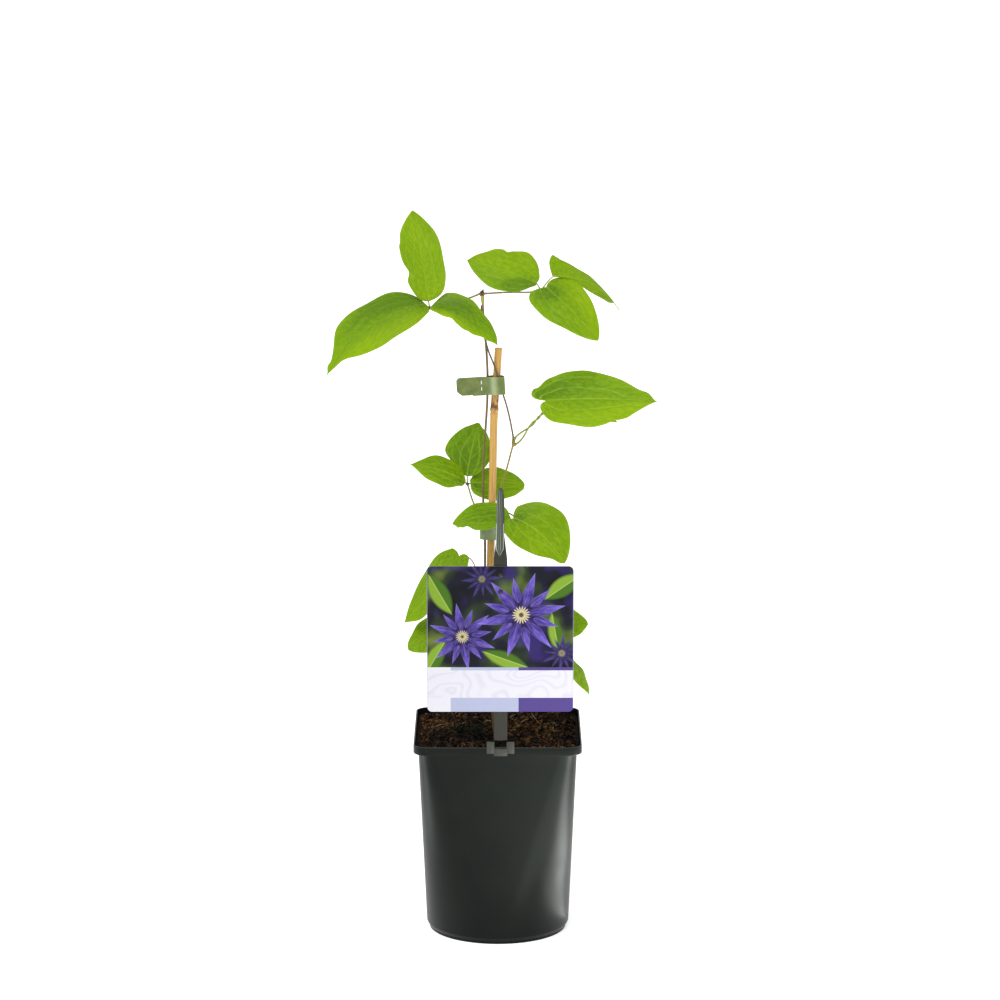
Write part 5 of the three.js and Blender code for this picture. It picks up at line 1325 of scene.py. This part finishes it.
# %% Tie material and pieces
def strap_plastic(name, dark, light):
    """Sage green plastic: tone clouds at 6 mm, dark specks under a millimetre wide, grain at 0.5 mm, and
    a painted highlight where it lies over the cane."""
    material, tree = start_material(name, Specular_IOR_Level=0.35)
    place = add_node(tree, "TexCoord", output="Object")
    clouds = add_node(tree, "TexNoise", [place, 160.0, 4.0])
    tone = add_node(tree, "ValToRGB", [clouds], [(0.3, dark), (0.7, light)])
    stretch = add_node(tree, "Attribute", attribute_name="stretch", output="Fac")
    # painted highlight where the strap lies over the cane
    stretched = add_node(tree, "Mix", [stretch, tone, "#a3b085"], data_type="RGBA")
    specks = add_node(tree, "TexVoronoi", [place, 210.0])
    speck = add_node(tree, "MapRange", [specks, 0.09, 0.05, 0.0, 0.85])
    colour = add_node(tree, "Mix", [speck, stretched, "#2f3824"], data_type="RGBA")
    gloss = add_node(tree, "MapRange", [clouds, 0.0, 1.0, 0.38, 0.55])
    fine = add_node(tree, "TexNoise", [place, 1900.0])
    relief = add_node(tree, "Bump", {"Height": fine, "Strength": 0.15, "Distance": 0.0003})
    link_shader(tree, colour, gloss, relief)
    return material


strap_skin = strap_plastic("soft green strap vinyl", "#57632f", "#6f7c43")
pale_strap_skin = strap_plastic("bleached green strap vinyl", "#6c7b50", "#8a9a70")
upper_band = strap(UPPER_TIE_ROUTE, 425.4, UPPER_TIE_LOW, UPPER_TIE_HIGH, drop=0.7, slot_x=-12, tilt=3.5)
lower_band = strap(LOWER_TIE_ROUTE, 311.2)
make_piece("upper_tie", [(upper_band, 0)], [strap_skin], "strap_plastic", "tie_upper", sharp_degrees=40)
make_piece("lower_tie", [(lower_band, 0)], [pale_strap_skin], "strap_plastic", "tie_lower", sharp_degrees=40)

# %% [markdown]
# ## The picture card
#
# The card is a laminated print about 11 cm square with rounded corners. Its solid already has the right
# shape, so it only gets a print. The print is drawn by nodes in the card's own plane, x to the right and
# z up, in millimetres from its lower left corner: open flowers of six petals and pointed leaves before
# a dark ground, over a white band with fine pale arches, and a strip of two violet blocks.

# %% Card layout
CARD_LEFT, CARD_BOTTOM, CARD_FRONT = -54.0, 188.9, -64.0
CARD_WIDTH = 112.0
PICTURE_FROM = 35.0  # height on the card where the picture starts
BAND_FROM = 11.0
BLOCK_FROM, BLOCK_TO = 18.0, 70.0  # where the violet block in the strip starts and the pale one begins
BORDER = 0.5
PETALS = 6
# centre x and z on the card, petal length, turn in degrees, brightness, sharpness of its edge
FLOWERS = [(42, 104, 17, 5, 0.4, 0.25), (103, 46, 17, 25, 0.45, 0.25), (27, 59, 27, 40, 0.9, 1.2),
           (72, 76, 35, 12, 1.0, 1.2)]
# centre x and z, half length, half width, turn in degrees
PRINTED_LEAVES = [(10, 92, 19, 8, 120), (104, 98, 18, 8, 35), (60, 41, 20, 7, 160), (6, 42, 17, 7, 60),
                  (98, 62, 17, 6, 100)]
print("flowers on the card:", len(FLOWERS))


# %% Card print
INK, WHITE = "#12131f", "#c0bfc5"


def turned(tree, x, z, cx, cz, degrees):
    """Coordinates about a centre, turned clockwise: u = dx cos + dz sin and v = dz cos - dx sin."""
    c, s = math.cos(math.radians(degrees)), math.sin(math.radians(degrees))
    dx = add_node(tree, "Math", [x, cx], operation="SUBTRACT")
    dz = add_node(tree, "Math", [z, cz], operation="SUBTRACT")
    u = add_node(tree, "Math", [dz, s], operation="MULTIPLY")
    v = add_node(tree, "Math", [dx, -s], operation="MULTIPLY")
    return (add_node(tree, "Math", [dx, c, u], operation="MULTIPLY_ADD"),
            add_node(tree, "Math", [dz, c, v], operation="MULTIPLY_ADD"))


def print_leaves(tree, x, z, picture):
    """Leaves: ellipses with pointed ends, half width * (1 - (u / half length)^2) wide, one half darker."""
    for cx, cz, half_length, half_width, degrees in PRINTED_LEAVES:
        u, v = turned(tree, x, z, cx, cz, degrees)
        u = add_node(tree, "Math", [u, half_length], operation="DIVIDE")
        squared = add_node(tree, "Math", [u, u], operation="MULTIPLY")
        lens = add_node(tree, "Math", [squared, -half_width, half_width], operation="MULTIPLY_ADD")
        away = add_node(tree, "Math", [v], operation="ABSOLUTE")
        inside = add_node(tree, "Math", [lens, away], operation="SUBTRACT")
        half = add_node(tree, "Math", [v, 0.5, 0.5], operation="MULTIPLY_ADD", use_clamp=True)
        green = add_node(tree, "Mix", [half, "#3c5f16", "#6f8e2a"], data_type="RGBA")
        rib = add_node(tree, "Math", [away, 1.6], operation="MULTIPLY", use_clamp=True)
        green = add_node(tree, "Mix", [rib, "#93a650", green], data_type="RGBA")
        share = add_node(tree, "Math", [inside, 0.45], operation="MULTIPLY", use_clamp=True)
        picture = add_node(tree, "Mix", [share, picture, green], data_type="RGBA")
    return picture


def petals(tree, angle, far, share, shift, length):
    """A star of petals: how far each point lies within length * (1 - 0.7 |sin(3 angle + shift)|^0.8), and
    its violet, streaked outwards, dark between the petals and pale at the rim."""
    wave = add_node(tree, "Math", [angle, PETALS / 2, shift], operation="MULTIPLY_ADD")
    wave = add_node(tree, "Math", [wave], operation="SINE")
    wave = add_node(tree, "Math", [wave], operation="ABSOLUTE")
    outline = add_node(tree, "Math", [wave, 0.8], operation="POWER")
    outline = add_node(tree, "Math", [outline, -0.7 * length, length], operation="MULTIPLY_ADD")
    inside = add_node(tree, "Math", [outline, far], operation="SUBTRACT")
    around = add_node(tree, "Math", [angle, 4.0], operation="MULTIPLY")
    outwards = add_node(tree, "Math", [share, 1.6], operation="MULTIPLY")
    polar = add_node(tree, "CombineXYZ", [around, outwards, shift])
    streak = add_node(tree, "TexNoise", [polar, 3.0, 4.0])
    streak = add_node(tree, "Math", [streak, 2.6, -1.0], operation="MULTIPLY_ADD", use_clamp=True)
    streak = add_node(tree, "Math", [streak, 0.5], operation="MULTIPLY")
    hue = add_node(tree, "ValToRGB", [share], [(0.1, "#1a1046"), (0.45, "#352678"), (0.8, "#54429c"),
                                               (1.0, "#7a69b8")])
    hue = add_node(tree, "Mix", [streak, hue, "#8d7cc6"], data_type="RGBA")
    gap = add_node(tree, "Math", [wave, 1.5], operation="POWER")
    gap = add_node(tree, "Math", [gap, 0.9], operation="MULTIPLY", use_clamp=True)
    hue = add_node(tree, "Mix", [gap, hue, "#120b33"], data_type="RGBA")
    rim = add_node(tree, "Math", [inside, 0.8], operation="MULTIPLY")
    rim = add_node(tree, "Math", [1.0, rim], operation="SUBTRACT", use_clamp=True)
    rim = add_node(tree, "Math", [rim, 0.35], operation="MULTIPLY")
    return inside, add_node(tree, "Mix", [rim, hue, "#a99bd6"], data_type="RGBA")


def print_flowers(tree, x, z, picture):
    """Flowers: a star of petals over a smaller one turned by half a petal, a crown of stamens with
    18 points, and a dark core."""
    for cx, cz, petal, degrees, bright, sharpness in FLOWERS:
        u, v = turned(tree, x, z, cx, cz, degrees)
        angle = add_node(tree, "Math", [v, u], operation="ARCTAN2")
        far = add_node(tree, "Math", [v, v], operation="MULTIPLY")
        far = add_node(tree, "Math", [u, u, far], operation="MULTIPLY_ADD")
        far = add_node(tree, "Math", [far], operation="SQRT")
        share = add_node(tree, "Math", [far, petal], operation="DIVIDE", use_clamp=True)
        for shift, length in ((math.pi / 2, 0.86 * petal), (0.0, petal)):
            inside, hue = petals(tree, angle, far, share, shift, length)
            hue = add_node(tree, "Mix", [bright, INK, hue], data_type="RGBA")
            inside = add_node(tree, "Math", [inside, sharpness], operation="MULTIPLY", use_clamp=True)
            picture = add_node(tree, "Mix", [inside, picture, hue], data_type="RGBA")
        spokes = add_node(tree, "Math", [angle, 9.0], operation="MULTIPLY")
        spokes = add_node(tree, "Math", [spokes], operation="SINE")
        spokes = add_node(tree, "Math", [spokes], operation="ABSOLUTE")
        crown = add_node(tree, "Math", [spokes, 0.12 * petal, 0.09 * petal], operation="MULTIPLY_ADD")
        for reach, paint in ((crown, "#b5aa86"), (0.07 * petal, "#4a4420")):
            spot = add_node(tree, "Math", [reach, far], operation="SUBTRACT")
            spot = add_node(tree, "Math", [spot, 0.9], operation="MULTIPLY", use_clamp=True)
            dimmed = add_node(tree, "Mix", [bright, INK, paint], data_type="RGBA")
            picture = add_node(tree, "Mix", [spot, picture, dimmed], data_type="RGBA")
    return picture


def card_print():
    """Printed and laminated card: the picture over a white band with arches and two violet blocks, plain
    white behind."""
    material, tree = start_material("laminated print", Roughness=0.35, Specular_IOR_Level=0.12)
    place = add_node(tree, "TexCoord", output="Object")
    x, y, z = (add_node(tree, "SeparateXYZ", [place], output=axis) for axis in "XYZ")
    x = add_node(tree, "Math", [x, 1 / MM, -CARD_LEFT], operation="MULTIPLY_ADD")
    z = add_node(tree, "Math", [z, 1 / MM, -CARD_BOTTOM], operation="MULTIPLY_ADD")
    ground = add_node(tree, "TexNoise", [place, 34.0])
    picture = add_node(tree, "ValToRGB", [ground], [(0.3, "#07080e"), (0.47, INK), (0.56, "#26321a"),
                                                    (0.68, "#5d6c2b"), (0.8, "#a3a96a")])
    haze = add_node(tree, "TexNoise", [place, 47.0, 1.0])
    haze = add_node(tree, "MapRange", [haze, 0.52, 0.66, 0.0, 0.8])
    picture = add_node(tree, "Mix", [haze, picture, "#2c1f5c"], data_type="RGBA")
    picture = print_flowers(tree, x, z, print_leaves(tree, x, z, picture))

    tall = add_node(tree, "Mapping", {"Vector": place, "Scale": (1, 1, 1.7)})
    arches = add_node(tree, "TexNoise", [tall, 26.0, 1.0])
    arches = add_node(tree, "Math", [arches, 75.0], operation="MULTIPLY")
    arches = add_node(tree, "Math", [arches], operation="SINE")
    arches = add_node(tree, "Math", [arches, 0.0], operation="MAXIMUM")
    arches = add_node(tree, "Math", [arches, 0.5], operation="MULTIPLY")
    band = add_node(tree, "Mix", [arches, WHITE, "#adacba"], data_type="RGBA")
    strip = "#969cb3"
    for operation, limit, paint in (("GREATER_THAN", BLOCK_TO, "#483a74"), ("LESS_THAN", BLOCK_FROM, WHITE)):
        there = add_node(tree, "Math", [x, limit], operation=operation)
        strip = add_node(tree, "Mix", [there, strip, paint], data_type="RGBA")
    front = strip
    for operation, limits, layer in (("GREATER_THAN", [BAND_FROM], band),
                                     ("COMPARE", [PICTURE_FROM - 1.2, 1.2], strip),
                                     ("GREATER_THAN", [PICTURE_FROM], picture)):
        there = add_node(tree, "Math", [z, *limits], operation=operation)
        front = add_node(tree, "Mix", [there, front, layer], data_type="RGBA")
    side = add_node(tree, "Math", [x, CARD_WIDTH / 2], operation="SUBTRACT")
    side = add_node(tree, "Math", [side], operation="ABSOLUTE")
    side = add_node(tree, "Math", [side, CARD_WIDTH / 2 - BORDER], operation="GREATER_THAN")
    side = add_node(tree, "Math", [side, 0.6], operation="MULTIPLY")
    front = add_node(tree, "Mix", [side, front, "#8d86a8"], data_type="RGBA")
    behind = add_node(tree, "Math", [y, (CARD_FRONT + 0.1) * MM], operation="GREATER_THAN")
    link_shader(tree, add_node(tree, "Mix", [behind, front, WHITE], data_type="RGBA"))
    return material


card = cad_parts["label_card"]
card.data.materials.clear()
card.data.materials.append(card_print())

# %% [markdown]
# ## The label holder
#
# The holder is one moulding of grey-green plastic. A strip stands behind the card, narrows above it and
# folds over forwards into a ribbed tongue with a pointed end, and low down it has a window and two wings
# that grip the rim. The strip and the tongue are one sheet carried along a route seen from the side;
# its width changes on the way, and ribs run down the tongue. Wings, lip and rivets are small lofts.

# %% Holder shape
HOLDER_X, HOLDER_SHEET = 2.2, 1.0
STRIP_HALF, TONGUE_HALF = 5.2, 2.95
STRIP_Y, TONGUE_Y = -62.6, -64.9  # the sheet's middle, behind the card's plane and in front of it
HOLDER_BOTTOM, HOLDER_TOP, TONGUE_TIP = 155.6, 363.6, 310.5
TAPER_FROM, TAPER_TO, TIP_LENGTH = 308.0, 326.0, 6.0
ARCH_HEIGHT, TONGUE_LEAN = 12.0, -0.7
WINDOW_HALF, WINDOW_LOW, WINDOW_HIGH = 4.7, 160.1, 166.2
RIB_HEIGHT = 0.2
RIB_DARK = np.array([-0.49, -0.04, 0.41, 0.86])  # grooves between the ribs, in half widths, painted darker as shade
RIB_LIGHT = np.array([-0.79, -0.28, 0.2])  # crests, painted lighter as highlights
BRIGHT_BELOW = 336.0  # a highlight is painted on the tongue's cut edges below this height
STRIP_ROWS, FOLD_ROWS, TONGUE_ROWS, HOLDER_COLUMNS = 300, 12, 110, 49
RIVET_HEIGHTS = (283, 296)
# along Y a stud's shank, head and dome: place and radius in mm
RIVET_PROFILE = np.array([(-62.8, 1.1), (-64.3, 1.1), (-64.32, 1.8), (-64.6, 1.75), (-64.85, 1.35),
                          (-65.0, 0.5)])


def holder_sheet():
    """The strip and tongue: points at a route in the YZ plane and at x = middle + v half width. The half
    width is the strip's up to the taper, then the tongue's; the fold is arched, the tongue ends in a V."""
    bend_radius = (STRIP_Y - TONGUE_Y) / 2
    bend_z = HOLDER_TOP - bend_radius - HOLDER_SHEET / 2
    angle = np.linspace(0, np.pi, FOLD_ROWS + 2)[1:-1]
    y = np.concatenate([np.full(STRIP_ROWS, STRIP_Y), STRIP_Y - bend_radius * (1 - np.cos(angle)),
                        np.full(TONGUE_ROWS, TONGUE_Y)])
    z = np.concatenate([np.linspace(HOLDER_BOTTOM, bend_z, STRIP_ROWS), bend_z + bend_radius * np.sin(angle),
                        np.linspace(bend_z, TONGUE_TIP, TONGUE_ROWS)])
    on_tongue = np.arange(len(y)) >= STRIP_ROWS + FOLD_ROWS // 2
    half = np.where(on_tongue, TONGUE_HALF, np.interp(z, [TAPER_FROM, TAPER_TO], [STRIP_HALF, TONGUE_HALF]))
    arch = np.clip((HOLDER_TOP + 0.8 - z) / ARCH_HEIGHT, 0.02, 1)
    point = np.clip((z - TONGUE_TIP) / TIP_LENGTH, 0.02, 1)
    half = half * np.sqrt(arch * (2 - arch)) * np.where(on_tongue, point, 1)
    v = np.linspace(-1, 1, HOLDER_COLUMNS)
    lean = TONGUE_LEAN * np.clip((HOLDER_TOP - z) / (HOLDER_TOP - TONGUE_TIP), 0, 1) * on_tongue
    x = HOLDER_X + lean[:, None] + half[:, None] * v
    points = grid_points(x, y[:, None], z[:, None]).reshape(-1, 3)
    along = unit(grid_points(0.0, np.gradient(y), np.gradient(z)))
    up = grid_points(np.zeros(x.shape), -along[:, 2:], along[:, 1:2]).reshape(-1, 3)
    ribbed = np.clip((z - TONGUE_TIP - 4) / 3, 0, 1) * on_tongue
    # painted shade in the grooves and painted highlights on the crests; the same lines raise the ribs
    lines = [ribbed[:, None] * bell(v[:, None] - places, 0.1).max(axis=1) for places in (RIB_DARK, RIB_LIGHT)]
    # painted highlight on the tongue's cut edges
    edge = np.clip((np.abs(v) - 0.8) / 0.1, 0, 1) * (on_tongue & (z < BRIGHT_BELOW))[:, None]
    plain = HOLDER_SHEET / 2 - 0.1 - 0.1 * np.abs(v) ** 8 + np.zeros(x.shape)
    quads = grid_quads(*x.shape)
    middle = points[quads].mean(axis=1)
    window = ((np.abs(middle[:, 0] - HOLDER_X) < WINDOW_HALF)
              & (np.abs(middle[:, 2] - (WINDOW_LOW + WINDOW_HIGH) / 2) < (WINDOW_HIGH - WINDOW_LOW) / 2))
    return shell(points, up, plain.ravel(), (plain + RIB_HEIGHT * (lines[1] - lines[0])).ravel(),
                 quads[~window], tongue=np.repeat(on_tongue.astype(float), len(v)),
                 groove=lines[0].ravel(), crest=lines[1].ravel(), edge=edge.ravel())


def soft_block(low, high, radius=0.25):
    """A box with rounded edges: rounded rectangles in the YZ plane carried along x, smaller at the ends."""
    low, high = np.array(low, float), np.array(high, float)
    inset = radius * np.array([1, 0.3, 0, 0, 0.3, 1])
    x = np.array([low[0], low[0] + 0.3 * radius, low[0] + radius,
                  high[0] - radius, high[0] - 0.3 * radius, high[0]])
    half, middle = (high - low)[1:] / 2 - radius, (high + low)[1:] / 2
    y, z = rounded_corners(*half, (radius - inset)[:, None], 5)
    return loft(grid_points(x[:, None], y + middle[0], z + middle[1]), pale=1.0)


def rivet(z):
    """A round-headed stud along Y: circles whose radius follows the shank, the head and its dome."""
    y, radius = RIVET_PROFILE.T
    return loft(round_rings(grid_points(HOLDER_X, y, z), radius[:, None], round_angles(28), X_AXIS, Z_AXIS))


CLIP_HALF, CLIP_LOW, CLIP_HIGH, WING_LOW = 10.7, 154.3, 165.5, 156.1
CLIP_FRONT, CLIP_BACK, SHELF_LOW, SHELF_BACK = -66.3, -65.3, 160.9, -62.1
clip_blocks = []
for side in (-1, 1):
    x0, x1 = sorted([HOLDER_X + side * WINDOW_HALF, HOLDER_X + side * CLIP_HALF])
    clip_blocks.append((soft_block((x0, CLIP_FRONT + 0.2, WING_LOW), (x1, CLIP_BACK, CLIP_HIGH)), 0))
    clip_blocks.append((soft_block((x0, CLIP_BACK - 0.5, SHELF_LOW), (x1, SHELF_BACK, SHELF_LOW + 1)), 0))
clip_blocks.append((soft_block((HOLDER_X - STRIP_HALF, CLIP_FRONT, CLIP_LOW),
                               (HOLDER_X + STRIP_HALF, CLIP_BACK, WINDOW_LOW)), 0))
print("blocks in the holder's clip:", len(clip_blocks))


# %% [markdown]
# ### Grey-green moulded polypropylene
#
# The holder's plastic is filled less than the pot's, so thin parts let a little light in and it looks
# grey-green. It is smooth, with a soft gloss. The lights on its ribs and on the tongue's cut edges are
# painted highlights, and the grooves between the ribs are painted shade.

# %% Holder material and piece
def holder_plastic():
    """Grey-green glossy plastic: dark in the strip, lighter in the clip and the tongue, with painted shade in
    the grooves and painted highlights on the crests and the cut edges of the tongue, clouded in streaks 2 mm
    wide and 25 mm long."""
    material, tree = start_material("moulded grey-green polypropylene", Specular_IOR_Level=0.3)
    place = add_node(tree, "TexCoord", output="Object")
    colour = "#24231b"
    # the grooves take painted shade, the crests and the tongue's edges painted highlights
    for part, paint in (("pale", "#36372f"), ("tongue", "#444c39"), ("groove", "#262b22"),
                        ("crest", "#747d70"), ("edge", "#a9aea4")):
        share = add_node(tree, "Attribute", attribute_name=part, output="Fac")
        colour = add_node(tree, "Mix", [share, colour, paint], data_type="RGBA")
    long = add_node(tree, "Mapping", {"Vector": place, "Scale": (1, 1, 0.08)})
    clouds = add_node(tree, "TexNoise", [long, 500.0, 3.0])
    shade = add_node(tree, "MapRange", [clouds, 0.35, 0.75, 0.0, 0.4])
    clouded = add_node(tree, "Mix", [shade, colour, "#1c1e18"], data_type="RGBA")
    gloss = add_node(tree, "MapRange", [clouds, 0.0, 1.0, 0.25, 0.42])
    link_shader(tree, clouded, gloss)
    return material


holder_parts = [(holder_sheet(), 0), *clip_blocks, *((rivet(z), 0) for z in RIVET_HEIGHTS)]
make_piece("card_holder", holder_parts, [holder_plastic()], "holder_plastic", "label_holder",
           sharp_degrees=50)

# %% [markdown]
# ## Finish
#
# The box round the dressed plant is printed, as the solids' box was at the start.

# %% Print the sizes and finish
visual_box = [list(corner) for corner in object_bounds()]
print("visual box:", visual_box)
